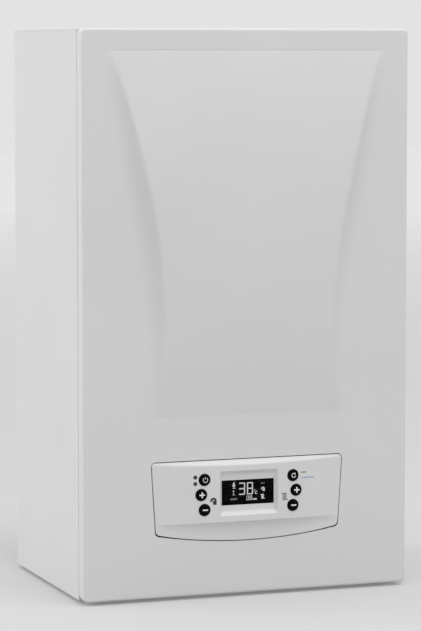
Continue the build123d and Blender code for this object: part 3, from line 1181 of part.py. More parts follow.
# ================================================================ writing
PIECES = {
    "rear_frame": make_rear_frame,
    "left_side_panel": make_left_side_panel,
    "right_side_panel": make_right_side_panel,
    "top_panel": make_top_panel,
    "bottom_plate": make_bottom_plate,
    "front_rail": make_front_rail,
    "pipe_grommets": make_pipe_grommets,
    "mains_cable_gland": make_mains_cable_gland,
    "chassis_fasteners": make_chassis_fasteners,
    "front_cover": make_front_cover,
    "cover_seal": make_cover_seal,
    "flue_socket": make_flue_socket,
    "control_fascia": make_control_fascia,
    "display_lens": make_display_lens,
    "display_module": make_display_module,
    "button_board": make_button_board,
    "control_box_tray": make_control_box_tray,
    "control_box_lid": make_control_box_lid,
    "main_circuit_board": make_main_circuit_board,
    "control_box_brackets": make_control_box_brackets,
    "support_crossbar": make_support_crossbar,
    "heat_exchanger_casing": make_heat_exchanger_casing,
    "heat_exchanger_coil": make_heat_exchanger_coil,
    "burner_door": make_burner_door,
    "burner_tube": make_burner_tube,
    "spark_electrode": make_spark_electrode,
    "fan_housing": make_fan_housing,
    "fan_wheel": make_fan_wheel,
    "fan_motor": make_fan_motor,
    "mixture_elbow": make_mixture_elbow,
    "venturi": make_venturi,
    "air_silencer": make_air_silencer,
    "gas_valve": make_gas_valve,
    "gas_pipe": make_gas_pipe,
    "gas_feed_tube": make_gas_feed_tube,
    "flue_duct": make_flue_duct,
    "condensate_trap": make_condensate_trap,
    "condensate_hose": make_condensate_hose,
    "expansion_vessel": make_expansion_vessel,
    "vessel_hose": make_vessel_hose,
    "pump_body": make_pump_body,
    "pump_motor": make_pump_motor,
    "pump_rotor": make_pump_rotor,
    "air_vent": make_air_vent,
    "flow_group": make_flow_group,
    "valve_actuator": make_valve_actuator,
    "plate_heat_exchanger": make_plate_heat_exchanger,
    "heating_flow_pipe": make_heating_flow_pipe,
    "heating_return_pipe": make_heating_return_pipe,
    "hot_water_pipe": make_hot_water_pipe,
    "cold_water_pipe": make_cold_water_pipe,
    "safety_valve": make_safety_valve,
    "safety_valve_knob": make_safety_valve_knob,
    "filling_tap_knob": make_filling_tap_knob,
}

os.makedirs("parts", exist_ok=True)
origin = Pos(0, 0, -HANG_HEIGHT)
for name, make in PIECES.items():
    export_step(origin * make(), f"parts/{name}.step")
for name, (x, z) in BUTTON_PLACES.items():
    export_step(origin * make_button(x, z), f"parts/{name}.step")
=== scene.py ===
import json
import math

import bmesh
import bpy
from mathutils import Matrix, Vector


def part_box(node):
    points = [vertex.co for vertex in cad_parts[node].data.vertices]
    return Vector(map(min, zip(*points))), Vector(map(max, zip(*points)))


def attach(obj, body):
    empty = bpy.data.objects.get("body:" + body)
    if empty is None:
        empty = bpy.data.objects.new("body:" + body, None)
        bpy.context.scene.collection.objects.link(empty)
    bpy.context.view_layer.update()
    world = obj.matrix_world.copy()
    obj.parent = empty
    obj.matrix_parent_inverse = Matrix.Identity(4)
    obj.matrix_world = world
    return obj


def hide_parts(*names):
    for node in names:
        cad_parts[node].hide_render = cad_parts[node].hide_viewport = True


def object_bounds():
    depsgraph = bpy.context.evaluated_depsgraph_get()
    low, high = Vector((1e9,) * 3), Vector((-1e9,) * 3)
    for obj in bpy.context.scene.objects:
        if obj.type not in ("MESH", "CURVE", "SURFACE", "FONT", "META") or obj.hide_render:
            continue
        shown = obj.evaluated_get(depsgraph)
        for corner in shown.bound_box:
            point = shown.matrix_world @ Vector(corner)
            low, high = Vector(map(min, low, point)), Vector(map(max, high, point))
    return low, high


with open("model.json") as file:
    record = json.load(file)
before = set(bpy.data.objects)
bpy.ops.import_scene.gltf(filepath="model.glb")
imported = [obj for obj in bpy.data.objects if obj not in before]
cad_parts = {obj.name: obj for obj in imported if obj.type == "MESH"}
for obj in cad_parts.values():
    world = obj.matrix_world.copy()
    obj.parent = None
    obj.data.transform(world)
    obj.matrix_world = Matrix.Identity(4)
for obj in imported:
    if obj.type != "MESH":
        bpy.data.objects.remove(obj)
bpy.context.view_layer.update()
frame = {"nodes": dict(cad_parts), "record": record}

# Wall-hung combi boiler. Metres in the CAD frame: +X right seen from the front, +Y to the wall, +Z up.
# Places on the front are given in millimetres across from the middle and up from the casing's lower edge.
MM = 0.001
cover_low, cover_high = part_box("front_cover")
BASE = cover_low.z
HALF_W = cover_high.x / MM
CASE_H = (cover_high.z - cover_low.z) / MM
CASE_D = 285.0
FRONT = -CASE_D

# ---------------------------------------------------------------- front cover
RETURN = 21.2
RETURN_DRAFT = 1.1
SHEET = 1.2
HEM = 9.0
HEM_BEND = 1.2
CORNER_R = 6.5
EDGE_R = 3.0
SHIELD_TOP = 653.0
SHIELD_PEAK = 470.0
SHIELD_BASE = 217.0
SHIELD_RISE = 12.4
# Half the width of the shield's crest at heights up the cover.
CREST = (
    (217, 118), (254, 112.5), (315, 108.2), (380, 110.2),
    (442, 117.5), (521, 134), (582, 149.5), (653, 170.5),
)
CREST_LEAD = 6.0
CREST_SOFT = 2.5
FLANK_DRAFT = 1.1
FLANK_LEAST = 3.0
FOOT_FADE = 9.0
CREASE_W = 1.6
CREASE_DEPTH = 0.28
TAB_SPACING = 300.0
TAB_W = 26.0
TAB_LOW = 0.3
TAB_TOP = 7.4
TAB_REACH = 20.3
TAB_SLOT = 5.4
TAB_SLOT_RUN = 6.0
TAB_EDGE_R = 0.25

# ---------------------------------------------------------------- control panel
FASCIA_TOP = 163.5
FASCIA_TOP_HALF = 122.5
FASCIA_LOW = 76.0
FASCIA_LOW_HALF = 117.0
FASCIA_SAG = 11.0
FASCIA_CORNER_R = 5.0
FASCIA_EDGE_R = 0.8
FASCIA_GAP = 1.0
FASCIA_BACK = 8.0
FASCIA_WALL = 2.5
FASCIA_SKIN = 2.0
CROWN = 6.0
CROWN_FRONT = FRONT - CROWN
EDGE_PROUD = 0.6
BEVEL_MID = 6.2
BEVEL_END = 2.6
BEVEL_BACK = FRONT + 0.2
CREASE_Z = 88.7
COVE_RUN = 11.0
COVE_POWER = 2.4

# The display's recess. Each wall has the share of the way in that its steep part takes, and the share of
# the depth that the sloping floor takes.
RECESS_W = 74.7
RECESS_H = 54.2
RECESS_Z = 123.25
RECESS_LOW = RECESS_Z - RECESS_H / 2
RECESS_TOP = RECESS_Z + RECESS_H / 2
RECESS_ROUND = 3.0
SIDE_WALL = (0.95, 0.0)
UPPER_WALL = (0.38, 0.32)
LOWER_WALL = (0.38, 0.08)
WINDOW_W = 67.4
WINDOW_H = 30.5
WINDOW_Z = 123.3
WINDOW_LOW = WINDOW_Z - WINDOW_H / 2
WINDOW_TOP = WINDOW_Z + WINDOW_H / 2
WINDOW_R = 0.8
WINDOW_DEPTH = 5.0
WINDOW_Y = CROWN_FRONT + WINDOW_DEPTH
POCKET_MARGIN = 2.0
POCKET_R = 1.2
POCKET_DEPTH = 1.3

# ---------------------------------------------------------------- buttons
BUTTON_R = 7.25
BUTTON_PROUD = 1.5
BUTTON_GAP = 0.3
BUTTON_DOME = ((0.3, -0.02), (2.0, 0.0), (4.0, 0.06), (5.6, 0.2), (6.5, 0.5), (7.0, 0.95), (BUTTON_R, 1.6))
BUTTON_FLANGE_R = 9.0
BUTTON_FLANGE = (FRONT + 3.1, FRONT + 4.5)
BUTTON_STEM_R = 2.5
BUTTON_STEM_END = FRONT + 4.85
BUTTONS = {
    "power_button": (-56.9, 141.2, "power"),
    "reset_button": (56.9, 141.2, "reset"),
    "hot_water_plus_button": (-61.0, 123.1, "plus"),
    "heating_plus_button": (61.0, 123.1, "plus"),
    "hot_water_minus_button": (-56.9, 104.7, "minus"),
    "heating_minus_button": (56.9, 104.7, "minus"),
}
SYMBOL_SHIFT = 0.6
SYMBOL_SINK = 0.02
SYMBOL_THICK = 0.07
PLUS_SPAN = 7.0
PLUS_ARM = 1.75
MINUS_SPAN = 6.6
MINUS_ARM = 1.7
POWER_R = 2.9
POWER_LINE = 0.75
RESET_R = 2.5
RESET_LINE = 0.85
RESET_TURN = (60, 350)
ARROW_R = 1.6

# ---------------------------------------------------------------- display and prints
WELL_FLOOR = 1.4
LENS_THICK = 1.6
MODULE_GAP = 0.1
GLASS_SET_BACK = 0.4
PRINT_THICK = 0.03
PRINT_BEHIND = 0.02
LAYER_STEP = 0.006
DISPLAY_Y = WINDOW_Y + WELL_FLOOR + LENS_THICK + MODULE_GAP + GLASS_SET_BACK - PRINT_THICK
LARGE_DIGIT = (7.9, 15.0, 1.5)
SMALL_DIGIT = (3.2, 5.4, 0.7)
SEGMENTS = {"3": "abcdg", "8": "abcdefg", "0": "abcdef"}
SEASON_X = -68.5
WINTER_Z = 144.6
SUMMER_Z = 136.8
SUN_R = 2.1

# ---------------------------------------------------------------- camera and light
CAMERA = (-1.20778, -3.47991, 0.01549)
TARGET = (-0.0476, -0.285, -0.3016)
LENS_MM = 163.04
MIDDLE = (0.0, -0.285, -0.3)
KEY = ((0.6, -3.2, 1.6), (2.0, 1.8), 13.0)
FILL = ((-3.2, 0.9, 0.8), (1.8, 2.0), 37.0)
TOP = ((0.2, -1.1, 2.9), (2.0, 1.2), 35.0)
WORLD_LEVEL = 0.77
FLOOR_SIZE = 14.0
FLOOR_DROP = 0.004
FLOOR_GLOW = 0.18
FAR_GLOW = 0.40
FAR = (1.5, 8.0)


def place(x, y, z):
    """A point given in millimetres from the middle, the wall and the casing's lower edge."""
    return Vector((x * MM, y * MM, BASE + z * MM))


# ================================================================ mesh helpers
def new_object(name, mesh):
    obj = bpy.data.objects.new(name, mesh)
    bpy.context.scene.collection.objects.link(obj)
    return obj


def mesh_from(name, verts, faces, smooth=True):
    mesh = bpy.data.meshes.new(name)
    mesh.from_pydata([tuple(v) for v in verts], [], faces)
    mesh.validate()
    if smooth:
        mesh.shade_smooth()
    return new_object(name, mesh)


def apply_modifiers(obj):
    """Puts the result of the object's modifiers into its mesh."""
    bpy.context.view_layer.update()
    final = bpy.data.meshes.new_from_object(obj.evaluated_get(bpy.context.evaluated_depsgraph_get()))
    old = obj.data
    obj.modifiers.clear()
    obj.data = final
    bpy.data.meshes.remove(old)
    return obj


def soften(obj, angle, width=0.0):
    """Rounds sharp edges by width millimetres, and shades smooth across anything flatter than the angle."""
    if width:
        bevel = obj.modifiers.new("edge", "BEVEL")
        bevel.width = width * MM
        bevel.segments = 2
        bevel.limit_method = "ANGLE"
        bevel.angle_limit = math.radians(angle)
        apply_modifiers(obj)
    obj.data.shade_smooth()
    obj.data.set_sharp_from_angle(angle=math.radians(angle))
    return obj


def cut(obj, cutter):
    """Takes another object out of this one, and removes it."""
    boolean = obj.modifiers.new("cut", "BOOLEAN")
    boolean.operation = "DIFFERENCE"
    boolean.solver = "EXACT"
    boolean.object = cutter
    apply_modifiers(obj)
    bpy.data.objects.remove(cutter)
    return obj


def tidy_normals(obj):
    """Turns all faces outwards."""
    mesh = bmesh.new()
    mesh.from_mesh(obj.data)
    bmesh.ops.recalc_face_normals(mesh, faces=mesh.faces)
    mesh.to_mesh(obj.data)
    mesh.free()
    return obj


def loft(name, loops, smooth=True):
    """A closed skin through loops that have equally many points."""
    count = len(loops[0])
    verts = [p for loop in loops for p in loop]
    faces = []
    for k in range(len(loops) - 1):
        for i in range(count):
            j = (i + 1) % count
            faces.append((k * count + i, k * count + j, (k + 1) * count + j, (k + 1) * count + i))
    faces.append(tuple(reversed(range(count))))
    faces.append(tuple(range((len(loops) - 1) * count, len(loops) * count)))
    return tidy_normals(mesh_from(name, verts, faces, smooth))


def rounded_rectangle(w, h, z, r, steps=6):
    """Points of a rectangle with round corners, as x and z."""
    points = []
    for cx, cz, start in ((1, 1, 0), (-1, 1, 90), (-1, -1, 180), (1, -1, 270)):
        for k in range(steps + 1):
            a = math.radians(start + 90 * k / steps)
            points.append((cx * (w / 2 - r) + r * math.cos(a), z + cz * (h / 2 - r) + r * math.sin(a)))
    return points


def circle(x, z, r, steps=48):
    angles = [2 * math.pi * k / steps for k in range(steps)]
    return [(x + r * math.cos(a), z + r * math.sin(a)) for a in angles]


def prism(name, outline, y0, y1):
    """A block with an outline in x and z, from y0 to y1."""
    return loft(name, [[place(x, y, z) for x, z in outline] for y in (y0, y1)], smooth=False)


def round_corners(points, radius, steps=6):
    """The same closed polygon with the corners in it rounded. Points are (x, z, rounded or not)."""
    result = []
    for i, (x, z, rounded) in enumerate(points):
        here = Vector((x, z))
        if not rounded:
            result.append((x, z))
            continue
        back = (Vector(points[i - 1][:2]) - here).normalized()
        ahead = (Vector(points[(i + 1) % len(points)][:2]) - here).normalized()
        half = back.angle(ahead) / 2
        reach = radius / math.tan(half)
        centre = here + (back + ahead).normalized() * radius / math.sin(half)
        start = here + back * reach - centre
        turn = start.angle_signed(here + ahead * reach - centre)
        first = math.atan2(start.y, start.x)
        for k in range(steps + 1):
            a = first - turn * k / steps
            result.append((centre.x + radius * math.cos(a), centre.y + radius * math.sin(a)))
    return result


def curve_through(points, at):
    """Smooth interpolation through (position, value) pairs, which keeps the end values beyond the ends."""
    if at <= points[0][0]:
        return points[0][1]
    if at >= points[-1][0]:
        return points[-1][1]
    k = max(i for i, p in enumerate(points[:-1]) if p[0] <= at)
    (x0, y0), (x1, y1) = points[k], points[k + 1]
    before = points[k - 1] if k else (2 * x0 - x1, 2 * y0 - y1)
    after = points[k + 2] if k + 2 < len(points) else (2 * x1 - x0, 2 * y1 - y0)
    run = x1 - x0
    m0 = (y1 - before[1]) / (x1 - before[0]) * run
    m1 = (after[1] - y0) / (after[0] - x0) * run
    t = (at - x0) / run
    return ((2 * t**3 - 3 * t**2 + 1) * y0 + (t**3 - 2 * t**2 + t) * m0
            + (3 * t**2 - 2 * t**3) * y1 + (t**3 - t**2) * m1)


def soft_max(v, k):
    """Like max(v, 0), but rounded over k either side of 0."""
    return max(v, 0.0) + max(k - abs(v), 0.0) ** 2 / (4 * k)


def stations(start, stop, step):
    """Evenly spaced places from start to stop, about a step apart."""
    count = max(1, round(abs(stop - start) / step))
    return [start + (stop - start) * k / count for k in range(count + 1)]


def round_corner(p, q, r):
    """Draws a place near a square corner, p and q from its two sides, in to a corner of radius r.
    Gives the new p and q and the distance to the edge."""
    if p >= r or q >= r:
        return p, q, min(p, q)
    u, v = 1 - p / r, 1 - q / r
    u, v = u * math.sqrt(1 - v * v / 2), v * math.sqrt(1 - u * u / 2)
    return r - r * u, r - r * v, r - r * math.hypot(u, v)


def roll(distance, r):
    """How far a rounded edge of radius r falls away at a distance from its side."""
    return r - math.sqrt(r * r - (r - distance) ** 2) if distance < r else 0.0


def edge_stations(roll_r, corner_r):
    """Distances from an edge that follow its rounding and the corners."""
    turn = [roll_r * (1 - math.cos(math.radians(a))) for a in (0, 18, 36, 54, 72, 90)]
    return turn + stations(roll_r, corner_r, (corner_r - roll_r) / 3)[1:]


def grid_faces(columns, rows):
    return [(i * rows + j, (i + 1) * rows + j, (i + 1) * rows + j + 1, i * rows + j + 1)
            for i in range(columns - 1) for j in range(rows - 1)]


def grid_edge(columns, rows):
    """The vertices round a grid, in order."""
    start = list(range(rows))
    along = [i * rows + rows - 1 for i in range(1, columns)]
    end = [(columns - 1) * rows + j for j in range(rows - 2, -1, -1)]
    back = [i * rows for i in range(columns - 2, 0, -1)]
    return start + along + end + back


def add_ring(verts, faces, ring, moved):
    """Joins a ring of vertices to a new ring of moved points, and gives the new ring."""
    first = len(verts)
    verts.extend(moved)
    new = [first + k for k in range(len(ring))]
    for k in range(len(ring)):
        n = (k + 1) % len(ring)
        faces.append((ring[k], ring[n], new[n], new[k]))
    return new


# ================================================================ materials
def node_tree(name):
    mat = bpy.data.materials.new(name)
    mat.use_nodes = True
    return mat, mat.node_tree.nodes, mat.node_tree.links, mat.node_tree.nodes["Principled BSDF"]


def noise(nodes, links, scale, stretch):
    """A noise texture in metres, which may be drawn out along an axis."""
    place_node = nodes.new("ShaderNodeTexCoord")
    mapping = nodes.new("ShaderNodeMapping")
    mapping.inputs["Scale"].default_value = stretch
    texture = nodes.new("ShaderNodeTexNoise")
    texture.inputs["Scale"].default_value = scale
    texture.inputs["Detail"].default_value = 3.0
    links.new(place_node.outputs["Object"], mapping.inputs["Vector"])
    links.new(mapping.outputs["Vector"], texture.inputs["Vector"])
    return texture.outputs["Fac"]


def ramp(nodes, links, source, low, high, start=0.3, end=0.7):
    """Maps a value that runs from start to end to a colour or a number between low and high."""
    if isinstance(low, (int, float)):
        node = nodes.new("ShaderNodeMapRange")
        node.inputs["From Min"].default_value = start
        node.inputs["From Max"].default_value = end
        node.inputs["To Min"].default_value = low
        node.inputs["To Max"].default_value = high
        links.new(source, node.inputs["Value"])
        return node.outputs["Result"]
    node = nodes.new("ShaderNodeValToRGB")
    node.color_ramp.elements[0].position = start
    node.color_ramp.elements[1].position = end
    node.color_ramp.elements[0].color = (*low, 1)
    node.color_ramp.elements[1].color = (*high, 1)
    links.new(source, node.inputs["Fac"])
    return node.outputs["Color"]


def surface(name, low, high, rough, metallic=0.0, grain=(400, 0.05), stretch=(1, 1, 1), mottle=25.0, coat=0.0,
            specular=0.5):
    """Two close colours in a slow mottle, a range of roughness and a fine grain as bump.
    The grain is its scale and its height in millimetres."""
    mat, nodes, links, shader = node_tree(name)
    slow = noise(nodes, links, mottle, stretch)
    fine = noise(nodes, links, grain[0], stretch)
    links.new(ramp(nodes, links, slow, low, high), shader.inputs["Base Color"])
    links.new(ramp(nodes, links, fine, rough[0], rough[1]), shader.inputs["Roughness"])
    bump = nodes.new("ShaderNodeBump")
    bump.inputs["Strength"].default_value = 1.0
    bump.inputs["Distance"].default_value = grain[1] * MM
    links.new(fine, bump.inputs["Height"])
    links.new(bump.outputs["Normal"], shader.inputs["Normal"])
    shader.inputs["Metallic"].default_value = metallic
    shader.inputs["Specular IOR Level"].default_value = specular
    shader.inputs["Coat Weight"].default_value = coat
    shader.inputs["Coat Roughness"].default_value = 0.1
    return mat


def grey(value):
    return (value, value, value)


def print_ink(name, low, high):
    """Flat ink on the panel or a button."""
    return surface(name, low, high, (0.4, 0.5), grain=(3000, 0.004), mottle=300.0)


def lit(name, level, base):
    """A lit figure of the display."""
    mat = surface(name, grey(base), grey(base + 0.06), (0.4, 0.5), grain=(3000, 0.003), mottle=400.0,
                  specular=0.1)
    shader = mat.node_tree.nodes["Principled BSDF"]
    shader.inputs["Emission Color"].default_value = (0.95, 0.97, 1.0, 1)
    shader.inputs["Emission Strength"].default_value = level
    return mat


def smoked_window():
    """Dark clear plastic over the display."""
    mat = surface("smoked_window", grey(0.003), grey(0.005), (0.03, 0.06), grain=(800, 0.001), specular=0.08)
    mat.node_tree.nodes["Principled BSDF"].inputs["Alpha"].default_value = 0.28
    return mat


POWDER_COAT = surface("powder_coat", grey(0.715), grey(0.735), (0.40, 0.48), grain=(1500, 0.012), mottle=6.0,
                      specular=0.3)
FASCIA_PLASTIC = surface("fascia_plastic", grey(0.715), grey(0.735), (0.34, 0.40), grain=(2500, 0.006),
                         mottle=9.0, specular=0.35)
GALVANISED = surface("galvanised_steel", (0.47, 0.49, 0.51), (0.54, 0.56, 0.58), (0.34, 0.48), 1.0,
                     (110, 0.02), mottle=110.0)
STAINLESS = surface("stainless_steel", (0.50, 0.50, 0.50), (0.60, 0.60, 0.59), (0.22, 0.36), 1.0, (260, 0.02),
                    (1, 0.05, 1), mottle=30.0)
ALUMINIUM = surface("cast_aluminium", (0.52, 0.53, 0.54), (0.62, 0.63, 0.64), (0.38, 0.58), 1.0, (700, 0.12),
                    mottle=40.0)
BRASS = surface("brass", (0.55, 0.38, 0.15), (0.68, 0.49, 0.22), (0.25, 0.42), 1.0, (500, 0.05), mottle=80.0)
COPPER = surface("copper", (0.56, 0.24, 0.13), (0.72, 0.35, 0.20), (0.20, 0.38), 1.0, (300, 0.02),
                 mottle=50.0)
BLACK_PLASTIC = surface("black_plastic", grey(0.012), grey(0.018), (0.30, 0.42), grain=(1800, 0.02),
                        mottle=40.0)
GLOSS_BLACK = surface("gloss_black", grey(0.001), grey(0.002), (0.16, 0.22), grain=(900, 0.003), mottle=60.0,
                      specular=0.05)
GREY_PLASTIC = surface("grey_plastic", (0.11, 0.115, 0.12), (0.15, 0.155, 0.16), (0.40, 0.52),
                       grain=(1600, 0.03))
WHITE_PLASTIC = surface("white_plastic", (0.60, 0.60, 0.58), (0.67, 0.67, 0.65), (0.34, 0.44),
                        grain=(1400, 0.02))
RED_PLASTIC = surface("red_plastic", (0.42, 0.02, 0.015), (0.52, 0.03, 0.02), (0.28, 0.38),
                      grain=(1400, 0.02))
RUBBER = surface("black_rubber", grey(0.018), grey(0.03), (0.62, 0.78), grain=(1100, 0.05))
FOAM = surface("foam_strip", grey(0.05), grey(0.09), (0.8, 0.95), grain=(1800, 0.25), mottle=300.0)
RED_ENAMEL = surface("red_enamel", (0.36, 0.02, 0.015), (0.44, 0.03, 0.02), (0.26, 0.36), grain=(700, 0.03),
                     coat=0.3)
DARK_PAINT = surface("dark_paint", grey(0.02), grey(0.035), (0.4, 0.55), grain=(900, 0.04))
CERAMIC = surface("glazed_ceramic", (0.70, 0.67, 0.60), (0.76, 0.73, 0.66), (0.14, 0.24), grain=(500, 0.02),
                  coat=0.5)
BOARD_GREEN = surface("solder_mask", (0.010, 0.075, 0.03), (0.02, 0.12, 0.05), (0.25, 0.4),
                      grain=(1500, 0.03), mottle=220.0)
SILENCER = surface("silencer_plastic", grey(0.03), grey(0.045), (0.5, 0.65), grain=(1200, 0.05))
DISPLAY_BLACK = surface("display_black", grey(0.002), grey(0.004), (0.35, 0.45), grain=(1500, 0.004),
                        specular=0.05)
LENS = smoked_window()
LIT = lit("lit_figure", 0.75, 0.66)
LIT_DIM = lit("lit_figure_dim", 0.20, 0.30)
WHITE_PRINT = print_ink("white_print", grey(0.80), grey(0.86))
PALE_PRINT = print_ink("pale_print", grey(0.20), grey(0.24))
GREY_PRINT = print_ink("grey_print", grey(0.018), grey(0.026))
DARK_PRINT = print_ink("dark_print", grey(0.012), grey(0.02))
GREEN_PRINT = surface("green_print", (0.17, 0.24, 0.12), (0.20, 0.28, 0.15), (0.4, 0.5), grain=(3000, 0.004))
BLUE_PRINT = surface("blue_print", (0.30, 0.38, 0.60), (0.34, 0.42, 0.64), (0.4, 0.5), grain=(3000, 0.004))
FLOOR = surface("studio_floor", grey(0.46), grey(0.48), (0.7, 0.8), grain=(40, 0.05), mottle=2.0,
                specular=0.1)


def finish_piece(obj, body, material, slot, *nodes):
    """Gives a piece its material and the body it moves with, and hides the nodes that it stands for. The slot
    is not used.
    """
    obj.data.materials.clear()
    obj.data.materials.append(material)
    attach(obj, body)
    if nodes:
        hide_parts(*nodes)
    return obj


# ================================================================ front cover
def arch(z):
    """Height of the shield along its middle: two arcs that are level at the peak."""
    run = SHIELD_TOP - SHIELD_PEAK if z > SHIELD_PEAK else SHIELD_PEAK - SHIELD_BASE
    radius = (run * run + SHIELD_RISE ** 2) / (2 * SHIELD_RISE)
    away = min(abs(z - SHIELD_PEAK), run)
    return SHIELD_RISE - radius + math.sqrt(radius * radius - away * away)


def relief(x, z):
    """How far the cover's shield stands out at a place, less the crease above the shield."""
    rise = arch(z)
    flank = FLANK_DRAFT * rise + FLANK_LEAST
    out = 1 - (abs(x) - curve_through(CREST, z)) / flank
    profile = 1 - soft_max(1 - soft_max(out, FOOT_FADE / flank), CREST_SOFT / flank)
    above = abs(x) < CREST[-1][1]
    groove = max(0.0, 1 - abs(z - SHIELD_TOP - CREASE_W / 2) / (CREASE_W / 2)) if above else 0.0
    return rise * profile - CREASE_DEPTH * groove


def cover_columns(z):
    """Places across one row of the cover's right half, close together along the shield's flank."""
    crest = curve_through(CREST, z)
    flank = FLANK_DRAFT * arch(z) + FLANK_LEAST
    foot = crest + flank
    brink = crest - CREST_LEAD
    middle = [brink * k / 12 for k in range(12)]
    slope = [brink, crest - CREST_SOFT, crest - 1.2, crest]
    slope += [crest + flank * t for t in (0.12, 0.25, 0.5, 0.75, 1)]
    fade = [foot + FOOT_FADE * t for t in (1 / 3, 2 / 3, 1, 5 / 3)]
    edge = [HALF_W - d for d in reversed(edge_stations(EDGE_R, CORNER_R))]
    outer = [fade[-1] + (edge[0] - fade[-1]) * k / 6 for k in range(1, 6)]
    return middle + slope + fade + outer + edge


def cover_heights():
    """Rows of the cover's front, close together at its edges and at both ends of the shield."""
    edge = edge_stations(EDGE_R, CORNER_R)
    low = edge + stations(CORNER_R, SHIELD_BASE - 4, 7)[1:]
    shield = [SHIELD_BASE + d for d in (-1.5, 0, 1.5)] + stations(SHIELD_BASE + 5, SHIELD_TOP - 6, 6)
    brow = [SHIELD_TOP + d for d in (-3, -1, 0, CREASE_W / 2, CREASE_W, 2.4, 6)]
    return low + shield + brow + [CASE_H - d for d in reversed(edge)]


def cover_return():
    """Depth and inset of each line round the cover's sides, drawn in to the back and bent in to the hem."""
    back = FRONT + RETURN
    bend = [(back - HEM_BEND * t, RETURN_DRAFT + HEM_BEND * s) for t, s in ((1, 0), (0.3, 0.3), (0, 1))]
    return bend + [(back, HEM + SHEET)]


def make_cover():
    heights = cover_heights()
    halves = [cover_columns(z) for z in heights]
    half_count = len(halves[0])
    columns = 2 * half_count - 1
    verts = []
    for i in range(columns):
        side = -1 if i < half_count else 1
        k = abs(i - half_count + 1)
        for j, z in enumerate(heights):
            x = halves[j][k]
            p, q, inside = round_corner(HALF_W - x, min(z, CASE_H - z), CORNER_R)
            z_new = q if z < CASE_H / 2 else CASE_H - q
            y = FRONT - relief(x, z) + roll(inside, EDGE_R)
            verts.append(place(side * (HALF_W - p), y, z_new))
    faces = grid_faces(columns, len(heights))
    ring = grid_edge(columns, len(heights))
    rim = [verts[k] for k in ring]
    middle = BASE + CASE_H / 2 * MM
    for y, inset in cover_return():
        shrink_x = 1 - inset / HALF_W
        shrink_z = 1 - inset / (CASE_H / 2)
        moved = [Vector((v.x * shrink_x, y * MM, middle + (v.z - middle) * shrink_z)) for v in rim]
        ring = add_ring(verts, faces, ring, moved)
    cover = tidy_normals(mesh_from("front_cover_shell", verts, faces))
    wall = cover.modifiers.new("sheet", "SOLIDIFY")
    wall.thickness = SHEET * MM
    wall.offset = -1
    wall.use_even_offset = True
    apply_modifiers(cover)
    cut(cover, prism("opening", fascia_outline(-FASCIA_GAP), FRONT - 12, FRONT + 8))
    soften(cover, 40)
    finish_piece(cover, "cover", POWDER_COAT, "white_paint", "front_cover")


def make_cover_tab(side):
    """Bent tab on the cover's lower hem, with the slot for its screw."""
    x = side * TAB_SPACING / 2
    back = FRONT + RETURN
    front = back - SHEET
    tip = back + TAB_REACH
    top = TAB_TOP
    profile = [(front, TAB_LOW), (back, TAB_LOW), (back, top - SHEET)]
    profile += [(tip, top - SHEET), (tip, top), (front, top)]
    loops = [[place(x + dx, y, z) for y, z in profile] for dx in (-TAB_W / 2, TAB_W / 2)]
    tab = loft(f"cover_tab_{'right' if side > 0 else 'left'}", loops, smooth=False)
    half = TAB_SLOT / 2
    end = tip - TAB_SLOT_RUN
    slot = [(x - half, tip + 1), (x - half, end), (x, end - half), (x + half, end), (x + half, tip + 1)]
    cut(tab, loft("slot", [[place(px, py, z) for px, py in slot] for z in (top - 4, top + 2)], smooth=False))
    soften(tab, 30, TAB_EDGE_R)
    finish_piece(tab, "cover", POWDER_COAT, "white_paint")


# ================================================================ control panel
def fascia_half(z):
    """Half the panel's width at a height."""
    spread = (FASCIA_TOP_HALF - FASCIA_LOW_HALF) * (z - FASCIA_LOW) / (FASCIA_TOP - FASCIA_LOW)
    return FASCIA_LOW_HALF + spread


def fascia_bottom(x):
    """Height of the panel's bowed lower edge."""
    radius = (FASCIA_LOW_HALF ** 2 + FASCIA_SAG ** 2) / (2 * FASCIA_SAG)
    return FASCIA_LOW - FASCIA_SAG + radius - math.sqrt(radius * radius - x * x)


def fascia_outline(inset):
    """The panel's outline in x and z, drawn in by the inset."""
    half_top = FASCIA_TOP_HALF - inset
    half_low = FASCIA_LOW_HALF - inset
    points = [(half_top, FASCIA_TOP - inset, True), (-half_top, FASCIA_TOP - inset, True)]
    for x in stations(-half_low, half_low, 6):
        at_end = half_low - abs(x) < 0.001
        points.append((x, fascia_bottom(min(abs(x), FASCIA_LOW_HALF)) + inset, at_end))
    return round_corners(points, FASCIA_CORNER_R - inset)


def crown_y(x):
    """Where the panel's crowned surface lies in y."""
    drop = CROWN - EDGE_PROUD
    radius = (FASCIA_TOP_HALF ** 2 + drop ** 2) / (2 * drop)
    return CROWN_FRONT + radius - math.sqrt(radius * radius - x * x)


def bevel_width(x):
    """Height of the sloped band along the panel's top edge."""
    return BEVEL_END + (BEVEL_MID - BEVEL_END) * (1 - (x / FASCIA_TOP_HALF) ** 2)


def scoop(inward, wall, tilt):
    """How far forward the recess is, from 1 at its rim to 0 at the window.
    The wall is steep over its share of the way in, and the tilt is the sloping floor's share of the depth."""
    level = min(max(1 - inward, 0.0), 1.0)
    return tilt * level ** 2 + (1 - tilt) * soft_max((level - 1 + wall) / wall, 0.15)


